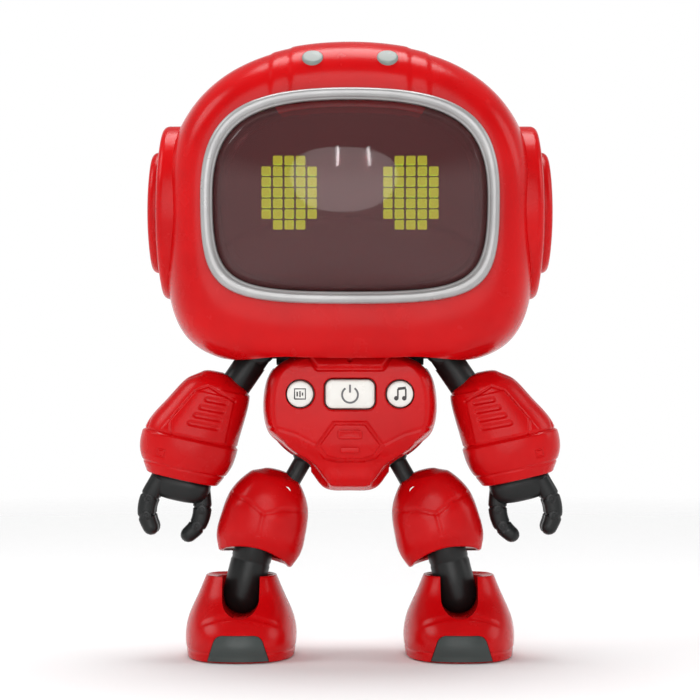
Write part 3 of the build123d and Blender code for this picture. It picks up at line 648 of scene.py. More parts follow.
def ear_dome(half_y, half_z, crown_x, crown_radius, edge_radius, insets, groove_at=None):
    """Rings of a domed oval boss, from its rounded edge inwards."""
    turn = around(256)
    rings = []
    for inset in insets:
        y = (half_y - inset) * np.cos(turn)
        z = (half_z - inset) * np.sin(turn)
        x = crown_x - crown_radius + np.sqrt(crown_radius ** 2 - y * y - z * z)
        if inset < edge_radius:
            x = x - edge_radius + sqrt(edge_radius ** 2 - (edge_radius - inset) ** 2)
        if groove_at:
            x = x - 0.32 * np.exp(-((inset - groove_at) / 0.45) ** 2)
        rings.append(ring_of(x, y, EAR_MID_Z + z))
    skirt = rings[0].copy()
    skirt[:, 0] = crown_x - 7.0
    return np.array([skirt] + rings)


def ear_dimples(p):
    """Eight shallow round dimples spaced along the ledge round the cap."""
    depth = np.zeros(p.shape[:-1])
    for i in range(8):
        a = radians(22.5 + 45 * i)
        distance = np.hypot(p[..., 1] - 12.2 * cos(a), p[..., 2] - EAR_MID_Z - 15.2 * sin(a))
        depth = depth + 0.5 * np.sqrt(np.clip(1 - distance ** 2, 0, 1))
    return -depth


def build_ears():
    ledge_x = node_box("left_ear_cover")[1][0]
    top_x = node_box("left_ear_cap")[1][0]
    edge = [0.0, 0.05, 0.15, 0.32, 0.55, 0.85, 1.2]
    cover = ear_dome(*EAR_COVER_HALF, ledge_x, 85.0, 1.2, edge + list(np.arange(1.35, 5.6, 0.15)))
    cover = displaced(cover, ear_dimples, (0, 0, EAR_MID_Z))
    cap = ear_dome(*EAR_CAP_HALF, top_x, 75.0, 1.2, edge + list(np.arange(1.5, 9.3, 0.25)), 3.4)
    for side, mirrored in SIDES:
        for name, node, grid in (("_ear_ring", "_ear_cover", cover), ("_ear_disc", "_ear_cap", cap)):
            make_piece(side + name, skin(grid), "head", RED, [side + node], 40, mirrored)


build_ears()


def build_studs():
    low, high = node_box("crown_studs")
    middle = (low + high) / 2
    tilt = radians(43.5)
    axis = (0, -sin(tilt), cos(tilt))
    profile = [(0, -1.6), (2.15, -1.6), (2.15, 1.9), (2.05, 2.11), (1.85, 2.21), (1.6, 2.23), (0, 2.25)]
    solid = Solid()
    for side in (-1, 1):
        lathe(profile, (side * 7.5, middle[1], middle[2]), axis, 48, solid)
    make_piece("crown_discs", solid, "head", GREY, ["crown_studs"], angle=50)


build_studs()

# ---------------------------------------------------------------- torso
TORSO_HALF = [(0, 62.6), (9.5, 62.4), (15.9, 59.2), (17.9, 52.8), (16.9, 46.0), (12.9, 41.2), (8.2, 38.0),
              (5.5, 34.7), (0, 34.0)]
TORSO_MID_Z = 49.0
TORSO_DEPTH = 12.5
TORSO_COUNT = 400
BUTTON_Z = 54.1
SIDE_BUTTON_X = 10.1
SIDE_BUTTON_RADIUS = 2.65
POWER_KEY = (4.95, 2.9, 1.5)    # half width, half height, corner radius
TROUGH_Z = 59.2
TROUGH_HALF_Y = 7.0
HIP_Z = 41.5
HIP_X = 8.3
POCKET_RADIUS = 7.0


def smooth_through(points, start_tangent, end_tangent, count):
    """Points along a cubic spline through the given 2-D points, with fixed end directions."""
    p = np.array(points, dtype=float)
    n = len(p)
    chord = np.concatenate([[0], np.cumsum(np.hypot(*(p[1:] - p[:-1]).T))])
    h = chord[1:] - chord[:-1]
    a = np.zeros((n, n))
    b = np.zeros((n, 2))
    a[0, 0] = a[-1, -1] = 1
    b[0] = start_tangent
    b[-1] = end_tangent
    for i in range(1, n - 1):
        a[i, i - 1] = 1 / h[i - 1]
        a[i, i] = 2 * (1 / h[i - 1] + 1 / h[i])
        a[i, i + 1] = 1 / h[i]
        b[i] = 3 * ((p[i] - p[i - 1]) / h[i - 1] ** 2 + (p[i + 1] - p[i]) / h[i] ** 2)
    m = np.linalg.solve(a, b)
    s = np.linspace(0, chord[-1], count)
    k = np.clip(np.searchsorted(chord, s, side="right") - 1, 0, n - 2)
    t = ((s - chord[k]) / h[k])[:, None]
    hk = h[k][:, None]
    return ((2 * t ** 3 - 3 * t ** 2 + 1) * p[k] + (t ** 3 - 2 * t ** 2 + t) * hk * m[k]
            + (-2 * t ** 3 + 3 * t ** 2) * p[k + 1] + (t ** 3 - t ** 2) * hk * m[k + 1])


TORSO_SIDE = smooth_through(TORSO_HALF, (1, 0), (-1, 0), TORSO_COUNT // 2 + 1)


def waist(z):
    """Share of the full depth that the torso keeps at a height: it narrows to the crotch and the neck."""
    low = np.clip((44.0 - z) / 10.0, 0, 1) ** 1.7
    high = np.clip((z - 57.5) / 5.0, 0, 1) ** 1.7
    return 1 - 0.30 * low - 0.12 * high


def torso_ring(size_x, size_z, y):
    half = TORSO_SIDE
    loop = np.concatenate([half[:-1], (half * (-1, 1))[::-1][:-1]])
    x = loop[:, 0] * size_x
    z = TORSO_MID_Z + (loop[:, 1] - TORSO_MID_Z) * size_z
    return ring_of(x, y * waist(z), z)


def torso_profile(step):
    """Outline size and depth from the widest ring (0) to the middle of the face (1)."""
    if step < 0.42:
        t = radians(90 * step / 0.42)
        size = 0.83 + 0.17 * cos(t) ** 0.85
        return size, 0.5 + 0.5 * size, TORSO_DEPTH * sin(t) ** 0.85 * 0.985
    t = (step - 0.42) / 0.58
    size = 0.83 * (1 - t) + 0.01 * t
    crown = TORSO_DEPTH * 0.985 + 0.35 * (1 - (1 - t) ** 2)
    return size, 0.915 * (1 - t) + 0.01 * t, crown


def signed_distance(a, b, corners):
    """Distance to a convex polygon in a plane, negative inside."""
    best = None
    for (ax, az), (bx, bz) in zip(corners, corners[1:] + corners[:1]):
        length = hypot(bx - ax, bz - az)
        edge = ((a - ax) * (bz - az) - (b - az) * (bx - ax)) / length
        best = edge if best is None else np.maximum(best, edge)
    return best


BELLY_PANEL = [(-3.2, 48.2), (-6.5, 43.7), (-4.9, 41.3), (-2.6, 40.6),
               (2.6, 40.6), (4.9, 41.3), (6.5, 43.7), (3.2, 48.2)]


def chest_relief(p):
    """Chest surface: raised collar, belly panel, sloping flanks under a crease, and a chin ledge."""
    x = np.abs(p[..., 0])
    z = p[..., 2]
    front = smoothstep(-p[..., 1], 4.0, 8.0)
    slant = np.clip(x - 6.6, 0, 3) * 1.53
    collar = path_distance(x, z, [(0, 59.2), (6.6, 59.2), (9.4, 63.5)])
    relief = groove(collar, 0.8, 0.30) + 0.5 * smoothstep(z - 59.2 - slant, -0.1, 0.6)
    panel = signed_distance(p[..., 0], z, BELLY_PANEL)
    # below a crease from the panel's corners to the sides the surface falls away
    crease_z = np.interp(x, [0, 6.5, 11.0, 14.5, 18.0], [43.7, 43.7, 46.0, 47.0, 47.2])
    below = crease_z - z
    outside = smoothstep(panel, -0.1, 0.9)
    flank = -1.15 * smoothstep(below, 0.0, 4.2) * outside
    chin = 0.8 * (1 - smoothstep(z, 36.4, 38.9)) * (1 - smoothstep(x, 3.8, 5.4))
    relief = relief + flank + chin + groove(panel, 0.75, 0.34) - 0.1 * (1 - smoothstep(panel, -0.3, 0.1))
    relief = relief + groove(below, 0.7, 0.16) * outside
    mic = np.hypot(p[..., 0], z - 60.9)
    relief = relief - 0.6 * np.exp(-(mic / 0.45) ** 4)
    return front * relief + seam_line(p[..., 1])


def back_relief(p):
    """Finger notch ridges and the seam groove on the back."""
    x = np.abs(p[..., 0])
    z = p[..., 2]
    back = smoothstep(p[..., 1], 6.0, 8.0)
    ribs = np.zeros(x.shape)
    for i in range(3):
        ribs = ribs + 0.25 * np.exp(-((z - 59.3 + 0.9 * i) / 0.3) ** 4) * (1 - smoothstep(x, 4.4, 4.8))
    return back * ribs + seam_line(p[..., 1])


def torso_half(sign, relief, inset=1.6):
    """One torso shell: its outside with relief, and a plain inside one wall behind it."""
    steps = [0, 0.004, 0.01, 0.02] + list(np.linspace(0.03, 1.0, 130))
    outer = []
    inner = []
    for s in steps:
        size_x, size_z, depth = torso_profile(s)
        outer.append(torso_ring(size_x, size_z, sign * depth))
    for s in steps[::4]:
        size_x, size_z, depth = torso_profile(s)
        inner.append(torso_ring(size_x * (1 - inset / 17.5), size_z * (1 - inset / 14.4),
                                sign * max(depth - inset, 0)))
    outer = displaced(np.array(outer), relief, (0, 0, TORSO_MID_Z))
    return skin(np.concatenate([outer[::-1], np.array(inner)]))


def rounded_outline(half_x, half_z, corner, count=64):
    ring = []
    for sx, sz, start in ((1, 1, 0), (-1, 1, 90), (-1, -1, 180), (1, -1, 270)):
        for step in range(count // 4):
            a = radians(start + 90 * step / (count // 4 - 1))
            ring.append((sx * (half_x - corner) + corner * cos(a),
                         sz * (half_z - corner) + corner * sin(a)))
    return np.array(ring)


def rounded_rings(half_x, half_z, corner, profile, y, mid_z):
    """Rings of a rounded rectangle facing -Y: profile is (inset, depth behind y)."""
    rings = []
    for inset, back in profile:
        flat = rounded_outline(half_x - inset, half_z - inset, max(corner - inset, 0.1))
        rings.append(ring_of(flat[:, 0], y + back, mid_z + flat[:, 1]))
    return rings


def slab(x, y, z):
    """Plain block used as a cutter, between low and high limits on each axis."""
    corners = [(x[0], y[0]), (x[1], y[0]), (x[1], y[1]), (x[0], y[1])]
    return skin([[(a, b, height) for a, b in corners] for height in z])


def hip_pockets(radius):
    return [loose("hip_pocket", round_bar((side * 8.0, 0, HIP_Z), (side * 30, 0, HIP_Z), radius, 48))
            for side in (-1, 1)]


def yoke_trough():
    return loose("trough", slab((-30, 30), (-TROUGH_HALF_Y, TROUGH_HALF_Y), (TROUGH_Z, 80)))


def build_torso():
    front = make_piece("chest_shell", torso_half(-1, chest_relief), "torso", RED,
                       ["torso_front_shell"], angle=40)
    # each button stands in a socket with a dished rim
    sockets = Solid()
    rim = [(-1.0, -2.0), (-0.95, -0.3), (-0.75, 0.15), (-0.3, 0.6), (-0.27, 0.9), (-0.27, 6.0)]
    socket_y = -12.9
    sockets.add_rings(rounded_rings(*POWER_KEY, rim, socket_y, BUTTON_Z))
    for side in (-1, 1):
        lathe([(0, -2.0)] + [(SIDE_BUTTON_RADIUS - inset, y) for inset, y in rim] + [(0, 6.0)],
              (side * SIDE_BUTTON_X, socket_y, BUTTON_Z), (0, 1, 0), 64, sockets)
    cut(front, [loose("sockets", sockets), yoke_trough()] + hip_pockets(POCKET_RADIUS), 40)
    # two raised pads on the belly panel
    pads = Solid()
    edge = [(0.0, 1.2), (0.0, 0.16), (0.07, 0.05), (0.22, 0.0), (0.45, 0.0), (0.52, 0.07), (0.6, 0.1)]
    pads.add_rings(rounded_rings(2.5, 0.95, 0.5, edge, -12.92, 45.9))
    pads.add_rings(rounded_rings(1.95, 0.6, 0.35, edge[:5], -12.82, 42.75))
    make_piece("belly_pads", pads, "torso", RED, angle=50)

    rear = make_piece("back_shell", torso_half(1, back_relief), "torso", RED,
                      ["torso_rear_shell"], angle=40)
    wells = Solid()
    for x, z in ((-12.6, 57.0), (12.6, 57.0), (0.0, 38.0)):
        round_bar((x, 7.0, z), (x, 20, z), 1.9, solid=wells)
    door_space = slab((-10.0, 10.0), (10.6, 20), (43.5, 57.2))
    cut(rear, [yoke_trough(), loose("door_space", door_space), loose("wells", wells)]
        + hip_pockets(POCKET_RADIUS), 40)
    # solid core behind the shells: the hip block and the floor of the yoke trough
    rings = np.array([torso_ring(0.88, 0.84, y) for y in (-10.4, 10.4)])
    rings[..., 2] = np.minimum(rings[..., 2], TROUGH_Z - 0.05)
    body_core = make_piece("torso_core", skin(rings), "torso", RED)
    bores = Solid()
    for side in (-1, 1):
        round_bar((side * 4.5, 0, HIP_Z), (side * 9, 0, HIP_Z), 2.6, solid=bores)
    hollow = slab((-13.0, 13.0), (-20, 20), (44.5, 57.4))
    cut(body_core, hip_pockets(POCKET_RADIUS + 0.1)
        + [loose("bores", bores), loose("core_hollow", hollow)], 40)


build_torso()


def key_icon(name, centre_x, front_y):
    """The sign on a round key: a note, or a speech panel with three sound bars."""
    icon = Solid()
    y = front_y - 0.05

    def stroke(points, half):
        icon_tube(icon, [(centre_x + x, BUTTON_Z + z) for x, z in points], y, half)

    if name == "music":
        for dx in (-0.75, 0.85):
            stroke([(dx + 0.32, -0.75), (dx + 0.32, 1.05)], 0.16)
            lathe([(0, 0.06), (0.42, 0.05), (0.46, 0.0), (0.42, -0.12), (0, -0.14)],
                  (centre_x + dx, y, BUTTON_Z - 0.85), (0, 1, 0), 20, icon)
        stroke([(-0.43, 1.05), (1.17, 1.25)], 0.27)
    else:
        stroke([(-1.1, -1.0), (-1.1, 1.05), (1.1, 1.05), (1.1, -1.0), (-1.1, -1.0)], 0.14)
        for x, reach, half in ((-0.55, 0.45, 0.16), (0.0, 0.6, 0.14), (0.5, 0.3, 0.14)):
            stroke([(x, -reach), (x, reach)], half)
    return icon


def build_buttons():
    edge = [(0.0, 3.4), (0.0, 0.62), (0.06, 0.36), (0.22, 0.14), (0.5, 0.02), (0.9, 0.0)]
    front_y = node_box("power_button")[0][1]
    power = skin(rounded_rings(*POWER_KEY, edge + [(1.4, -0.02), (2.2, -0.04)], front_y, BUTTON_Z))
    make_piece("power_key", power, "power_button", WHITE, ["power_button"], angle=50)
    icon = Solid()
    icon_tube(icon, arc_points(0, BUTTON_Z - 0.15, 1.6, 125, 415), front_y - 0.06, 0.2)
    icon_tube(icon, [(0, BUTTON_Z + 0.3), (0, BUTTON_Z + 1.9)], front_y - 0.06, 0.2)
    make_piece("power_icon", icon, "power_button", GREY_INK, angle=60)
    profile = [(0, 3.4)] + [(SIDE_BUTTON_RADIUS - i, y) for i, y in edge] + [(1.2, -0.03), (0, -0.05)]
    for name, side in (("music", 1), ("talk", -1)):
        body = name + "_button"
        centre_x = side * SIDE_BUTTON_X
        solid = lathe(profile, (centre_x, front_y, BUTTON_Z), (0, 1, 0), 72)
        make_piece(name + "_key", solid, body, WHITE, [body], angle=50)
        make_piece(name + "_icon", key_icon(name, centre_x, front_y), body, INK, angle=60)


def arc_points(cx, cz, radius, start, end, steps=40):
    points = []
    for i in range(steps + 1):
        a = radians(start + (end - start) * i / steps)
        points.append((cx + radius * cos(a), cz + radius * sin(a)))
    return points


def icon_tube(solid, points, y, half):
    """Flat stroke of a button symbol, raised a hair from the key."""
    p = np.array(points, dtype=float)
    direction = np.gradient(p, axis=0)
    direction /= np.linalg.norm(direction, axis=1, keepdims=True)
    across = np.stack([-direction[:, 1], direction[:, 0]], axis=1)
    rings = []
    for centre, side in zip(p, across):
        ring = []
        for lateral, lift in ((-half, 0.09), (-half, 0.0), (-half * 0.7, -0.05),
                              (half * 0.7, -0.05), (half, 0.0), (half, 0.09)):
            ring.append((centre[0] + side[0] * lateral, y + lift, centre[1] + side[1] * lateral))
        rings.append(ring)
    solid.add_rings(rings)


build_buttons()

# ---------------------------------------------------------------- limbs
ARM_PLACE = Matrix.Translation(Vector((30.0, 0, 58.5)) * MM) @ Matrix.Rotation(radians(-12.5), 4, "Y")
ARM_LENGTH = 22.3
THIGH_PLACE = Matrix.Translation(Vector((15.3, 0, 37.8)) * MM) @ Matrix.Rotation(radians(-13.8), 4, "Y")
THIGH_LENGTH = 18.6
THIGH_PIVOT = (13.2, 34.0)


def cubic(xs, ys, at):
    """Smooth curve through the points, flat-ended, for section sizes along a limb."""
    points = np.stack([np.array(xs, float), np.array(ys, float)], axis=1)
    start = (1, (ys[1] - ys[0]) / (xs[1] - xs[0]))
    end = (1, (ys[-1] - ys[-2]) / (xs[-1] - xs[-2]))
    fine = smooth_through(points, start, end, 400)
    return np.interp(at, fine[:, 0], fine[:, 1])


def limb_grid(sections, downs, squareness, count, inset=0.0):
    """Rings down a limb in its own frame: sections are (down, inner x, outer x, half depth)."""
    s = np.array(sections, dtype=float)
    k = corner_reach(squareness)
    rings = []
    for down in downs:
        inner = cubic(s[:, 0], s[:, 1], down) + inset
        outer = cubic(s[:, 0], s[:, 2], down) - inset
        depth = cubic(s[:, 0], s[:, 3], down) - inset
        flat = egg((outer - inner) / 2, depth, depth, k, k, count)
        rings.append(ring_of(flat[:, 0] + (outer + inner) / 2, flat[:, 1], -down))
    return np.array(rings)


ARM_SECTIONS = [(0.0, -6.8, 0.6, 4.2), (2.0, -9.7, 3.3, 6.1), (7.0, -10.2, 6.4, 7.2),
                (13.0, -9.8, 9.5, 8.0), (18.5, -9.2, 9.4, 8.0), (ARM_LENGTH, -7.4, 7.2, 6.6)]


def arm_relief(p):
    """Gauntlet details: wrist band, cuff line, raised front plate with three louvres, side fin."""
    x = p[..., 0]
    y = p[..., 1]
    down = -p[..., 2]
    front = smoothstep(-y, 1.5, 3.5)
    back = smoothstep(y, 1.5, 3.5)
    band = 0.28 * (smoothstep(down, 13.9, 14.15) - smoothstep(down, 22.5, 23.0))
    ring = groove(down - 14.0, 0.6, 0.24)
    cuff = groove(down - 20.3, 0.5, 0.16)
    step = -0.25 * (1 - smoothstep(down, 2.6, 3.0)) * smoothstep(-x, 4.0, 6.0)
    plate_line = path_distance(x, down, [(-7.6, 4.6), (-1.6, 2.6), (0.8, 4.0), (4.4, 10.6), (3.6, 14.0)])
    plate = smoothstep(x + 7.6, 0.0, 0.4) * (1 - smoothstep(x - 0.8 - (down - 4.0) * 0.545, -0.2, 0.2))
    plate = plate * smoothstep(down, 3.8, 4.2) * (1 - smoothstep(down, 13.2, 13.5))
    louvre = np.zeros(x.shape)
    for x0, x1, start in ((-5.8, -2.0, 5.2), (-5.6, -1.2, 7.0), (-5.4, -0.4, 8.8), (-5.2, 0.4, 10.6)):
        louvre = louvre + groove(segment_distance(x, down, (x0, start), (x1, start + 0.15)), 1.0, 0.34)
    fin_line = path_distance(x, down, [(0.6, 0.6), (3.4, 2.2), (8.9, 11.4), (8.9, 13.6)])
    relief = front * (0.16 * plate + groove(plate_line, 0.45, 0.2) + louvre)
    relief = relief + back * (0.16 * plate + groove(plate_line, 0.45, 0.2))
    relief = relief + groove(fin_line, 0.4, 0.16) * (front + back)
    square = np.maximum(np.abs(x - 4.9) - 0.75, np.abs(down - 18.0) - 0.7)
    relief = relief + front * groove(np.abs(square), 0.35, 0.2)
    return band + ring + cuff + step + relief + seam_line(y, depth=0.16)


def resized(ring, size, lift):
    """A ring scaled about its own middle and moved along Z."""
    centre = ring.mean(axis=0)
    return (ring - centre) * (size, size, 1) + centre + (0, 0, lift)


def limb_downs(length, dome, count):
    """Distances down a limb, close together on its domed top and rolled lower rim."""
    t = np.linspace(0, 1, count)
    return length * (t - dome * np.sin(2 * pi * t) / (2 * pi))


def build_arms():
    count = 320
    downs = limb_downs(ARM_LENGTH, 0.35, 150)
    grid = limb_grid(ARM_SECTIONS, downs, 2.5, count)
    grid = displaced(grid, arm_relief, (0, 0, -11))
    # round the top over and turn the lower rim in
    top = [resized(grid[0], size, lift)
           for size, lift in ((0.02, 0.62), (0.4, 0.60), (0.7, 0.48), (0.88, 0.28), (0.97, 0.1))]
    rim = [resized(grid[-1], size, lift)
           for size, lift in ((0.985, -0.12), (0.955, -0.2), (0.90, -0.22), (0.86, -0.15),
                              (0.85, 0.3), (0.85, 1.6), (0.02, 1.6))]
    whole = np.concatenate([np.array(top), grid, np.array(rim)])
    for side, mirrored in SIDES:
        for half, sign in (("front", -1), ("rear", 1)):
            solid = Solid()
            solid.add(*half_of(whole, sign))
            make_piece(side + "_gauntlet_" + half, solid, side + "_arm", RED,
                       [side + "_arm_" + half + "_shell"], 40, mirrored, ARM_PLACE)


def half_of(grid, sign):
    """The half of a closed skin on one side of y = 0, closed by a flat wall along the split."""
    rings, count = grid.shape[:2]
    half = count // 2
    index = np.arange(0, half + 1) if sign > 0 else np.concatenate([np.arange(half, count), [0]])
    skin = grid[:, index].copy()
    skin[:, 0, 1] = 0.0
    skin[:, -1, 1] = 0.0
    width = len(index)
    points = skin.reshape(-1, 3).tolist()
    faces = []
    for r in range(rings - 1):
        for i in range(width - 1):
            a = r * width + i
            faces.append((a, a + 1, a + width + 1, a + width))
    # flat wall: strips between the two edges of the skin
    for r in range(rings - 1):
        a = r * width
        b = r * width + width - 1
        faces.append((a, a + width, b + width, b))
    faces.append(tuple(range(width)))
    faces.append(tuple((rings - 1) * width + i for i in range(width))[::-1])
    return points, faces


build_arms()

TIP_LENGTH = 1.7


def curled_finger(solid, points, y_mid, thick, count=32):
    """Finger swept along a curl, with a seam between its three segments and a rounded tip."""
    p = np.array(points, dtype=float)
    start = (p[1] - p[0]) / np.linalg.norm(p[1] - p[0])
    end = (p[-1] - p[-2]) / np.linalg.norm(p[-1] - p[-2])
    path = smooth_through(p, start, end, 96)
    ahead = np.gradient(path, axis=0)
    steps = np.linalg.norm(ahead, axis=1)
    ahead = ahead / steps[:, None]
    travelled = np.concatenate([[0], np.cumsum(np.linalg.norm(path[1:] - path[:-1], axis=1))])
    length = travelled[-1]
    turn = around(count)
    c = np.sign(np.cos(turn)) * np.abs(np.cos(turn)) ** 0.86
    d = np.sign(np.sin(turn)) * np.abs(np.sin(turn)) ** 0.86
    rings = []
    for (x, z), (dx, dz), along in zip(path, ahead, travelled):
        width = np.interp(along / length, (0, 0.35, 0.7, 1.0), (1.85, 1.95, 1.8, 1.55))
        left = length - along
        tip = sqrt(max(1 - ((TIP_LENGTH - left) / TIP_LENGTH) ** 2, 0.0004)) if left < TIP_LENGTH else 1.0
        seam = 1 - 0.13 * sum(np.exp(-((along / length - at) / 0.018) ** 2) for at in (0.33, 0.66))
        size = tip * seam
        rings.append(ring_of(x - dz * width * size * c, y_mid + thick / 2 * size * d,
                             z + dx * width * size * c))
    solid.add_rings(rings)


HAND_TOP = -ARM_LENGTH - 0.12
KNUCKLES = [(4.4, -1.2), (5.55, -5.5), (5.3, -9.0), (2.9, -12.6)]
# (drop, half width, half depth, squareness) down the palm
PALM = [(0.0, 5.0, 3.4, 2.6), (0.02, 5.9, 3.9, 2.8), (0.5, 6.3, 4.1, 3.0), (1.8, 6.35, 4.1, 3.2),
        (3.0, 6.0, 3.9, 3.2), (4.0, 5.4, 3.6, 3.0), (4.6, 4.4, 3.1, 2.8), (4.85, 2.6, 2.2, 2.4),
        (4.9, 0.5, 0.5, 2.0)]
KNUCKLE_DISC = [(0, -0.6), (1.0, -0.6), (1.0, 0.06), (0.85, 0.16), (0.45, 0.16), (0.38, 0.06), (0, 0.06)]
WRIST_PEG = [(0, 0), (4.6, 0), (4.6, 0.5), (2.45, 0.6), (2.45, 4.0), (0, 4.0)]


def build_hands():
    for side, mirrored in SIDES:
        solid = Solid()
        # palm: drum under the cuff, then a block with a hollow lower edge
        palm = []
        for down, half_x, half_y, k in PALM:
            flat = egg(half_x, half_y, half_y, corner_reach(k), corner_reach(k), 64)
            palm.append(ring_of(flat[:, 0], flat[:, 1], HAND_TOP - down))
        solid.add_rings(palm)
        lathe(WRIST_PEG, (0, 0, HAND_TOP - 0.45), (0, 0, 1), 40, solid)
        for sign, y_mid, thick in ((-1, 0.0, 3.6), (1, -2.2, 3.4), (1, 2.2, 3.4)):
            joints = [(sign * x, HAND_TOP + z) for x, z in KNUCKLES]
            curled_finger(solid, joints, y_mid, thick)
            for x, z in joints[1:3]:
                for face in (-1, 1):
                    lathe(KNUCKLE_DISC, (x, y_mid + face * thick / 2, z), (0, face, 0), 24, solid)
        make_piece(side + "_claw", solid, side + "_hand", BLACK, [side + "_hand"], 45,
                   mirrored, ARM_PLACE)


build_hands()

THIGH_SHAPE = [(0.0, -2.8, 2.8, 2.8), (1.0, -5.0, 5.0, 4.9), (4.5, -7.6, 7.6, 7.1), (11.0, -9.0, 9.0, 8.4),
               (15.5, -8.9, 8.9, 8.3), (THIGH_LENGTH, -7.7, 7.7, 7.4)]


def thigh_relief(p):
    """Soft Y-shaped crease on the front, a brow line behind, and the seam."""
    x = p[..., 0]
    y = p[..., 1]
    down = -p[..., 2]
    front = smoothstep(-y, 1.0, 3.0)
    back = smoothstep(y, 1.0, 3.0)
    brow = path_distance(x, down, [(-9.5, 6.0), (-3.4, 6.8), (0.3, 8.6), (3.9, 6.8), (9.5, 6.0)])
    stem = segment_distance(x, down, (0.3, 8.6), (0.3, 14.6))
    plate = 0.14 * smoothstep(brow, 0.0, 1.6) * smoothstep(down, 6.0, 9.0)
    relief = front * (groove(brow, 0.9, 0.16) + groove(stem, 0.8, 0.13) + plate)
    relief = relief + back * groove(brow, 0.8, 0.16)
    return relief + seam_line(y, depth=0.15)


def build_thighs():
    count = 256
    downs = limb_downs(THIGH_LENGTH - 0.3, 0.3, 110)
    outer = limb_grid(THIGH_SHAPE, downs, 2.3, count)
    outer = displaced(outer, thigh_relief, (0, 0, -9))
    top = [resized(outer[0], size, lift)
           for size, lift in ((0.02, 0.50), (0.35, 0.47), (0.62, 0.38), (0.82, 0.25), (0.94, 0.1))]
    rim = [resized(outer[-1], size, -drop)
           for size, drop in ((0.985, 0.15), (0.95, 0.28), (0.90, 0.28), (0.86, 0.1))]
    inner = limb_grid(THIGH_SHAPE, downs[::-3][1:-8], 2.3, count, 1.6)
    whole = np.concatenate([np.array(top), outer, np.array(rim), inner])
    # the lower rim arches up in front, over the shin post
    facing = smoothstep(-whole[..., 1], 0.0, 5.0)
    arch = np.clip(1 - (whole[..., 0] / 8.4) ** 2, 0, 1) * smoothstep(-whole[..., 2], 7.0, THIGH_LENGTH)
    whole[..., 2] *= 1 - 0.15 * facing * arch
    solid = skin(whole)
    for side, mirrored in SIDES:
        shell = make_piece(side + "_thigh_shell", solid, side + "_thigh", RED,
                           [side + "_thigh_front_shell", side + "_thigh_rear_shell"], 40, mirrored,
                           THIGH_PLACE)
        cut(shell, [loose("link_slot", link_fan(-1 if mirrored else 1))], 40)


def link_fan(m):
    """Room for the hip link to swing: a wedge from the thigh pivot towards the hip."""
    pivot = np.array(THIGH_PIVOT)
    reach = np.array((HIP_X, HIP_Z)) - pivot
    outline = [pivot - reach * 0.1]
    for splay in (-14, -7, 0, 7, 14):
        a = radians(splay)
        outline.append(pivot + 1.25 * np.array((reach[0] * cos(a) + reach[1] * sin(a),
                                                -reach[0] * sin(a) + reach[1] * cos(a))))
    return skin([[(m * x, y, z) for x, z in outline] for y in (-2.2, 2.2)])


build_thighs()

KNEE = (19.8, 22.4)
ANKLE = (22.3, 12.4)
SHIN_RADIUS = 4.1


def build_shins():
    """Posts with a ball at each end and a narrow waist ring."""
    run = hypot(ANKLE[0] - KNEE[0], ANKLE[1] - KNEE[1])
    axis = ((ANKLE[0] - KNEE[0]) / run, 0, (ANKLE[1] - KNEE[1]) / run)
    radius = SHIN_RADIUS
    turns = [radians(a) for a in range(0, 91, 9)]
    profile = [(radius * sin(a), -radius * cos(a)) for a in turns]
    profile += [(radius, 2.6), (radius - 0.12, 2.9), (radius - 0.12, 3.3), (radius, 3.6),
                (radius, run - 2.2)]
    profile += [(radius * cos(a), run + radius * sin(a)) for a in turns]
    solid = lathe(profile, (KNEE[0], 0, KNEE[1]), axis, 64)
    for side, mirrored in SIDES:
        make_piece(side + "_shin", solid, side + "_shin", BLACK, [side + "_shin_post"], 40,
                   mirrored)


build_shins()

# ---------------------------------------------------------------- feet
FOOT_X = 22.5
FOOT_SECTIONS = [(0.3, 11.0, 17.0, 9.0), (3.5, 11.4, 17.3, 9.5), (8.2, 10.8, 14.6, 9.2),
                 (12.6, 8.9, 9.4, 8.1), (16.4, 7.3, 6.8, 6.8)]
CUP_RADIUS = 4.3
OPENING_RADIUS = 3.8
TOE_TOP_Z = 5.6
TOE_CORNER = 1.3
TOE_LEVELS = (-1, 1, 3, 4.3, 4.7, 5.1, 5.4, 5.6)


def foot_grid(heights, count, inset=0.0):
    s = np.array(FOOT_SECTIONS)
    rings = []
    for z in heights:
        half = cubic(s[:, 0], s[:, 1], z) - inset
        front = cubic(s[:, 0], s[:, 2], z) - inset
        back = cubic(s[:, 0], s[:, 3], z) - inset
        flat = egg(half, back, front, corner_reach(2.9), corner_reach(2.5), count)
        rings.append(ring_of(FOOT_X + flat[:, 0], flat[:, 1], z))
    return np.array(rings)


def foot_relief(p):
    """Soft instep crease and a line above the sole."""
    x = p[..., 0] - FOOT_X
    y = p[..., 1]
    z = p[..., 2]
    crease = groove(z - 9.2 + 0.03 * x * x, 0.9, 0.16) * smoothstep(-y, 3.0, 7.0)
    crease = crease * (1 - smoothstep(np.abs(x), 6.5, 8.5))
    return crease + groove(z - 2.0, 0.45, 0.14)


def toe_half_width(z):
    """Half width of the toe cap's panel at a height, with its upper corners rounded."""
    width = 6.3 - 0.32 * z
    into = max(z - (TOE_TOP_Z - TOE_CORNER), 0.0)
    return width - TOE_CORNER + sqrt(max(TOE_CORNER ** 2 - into ** 2, 0.0))


def stadium_tube(centre, radius, low, high):
    """Upright tube that widens with height; low and high are (z, least x, greatest x) of its axis."""
    turn = around(64, 0.5)
    rings = []
    for z, least, most in (low, high):
        shift = np.where(np.cos(turn) > 0, most, least)
        x = centre[0] + shift + radius * np.cos(turn)
        rings.append(ring_of(x, radius * np.sin(turn), centre[1] + z))
    return skin(rings)


def front_prism(outline, y):
    """Prism from an outline in XZ between two depths."""
    return skin([[(x, depth, z) for x, z in outline] for depth in y])


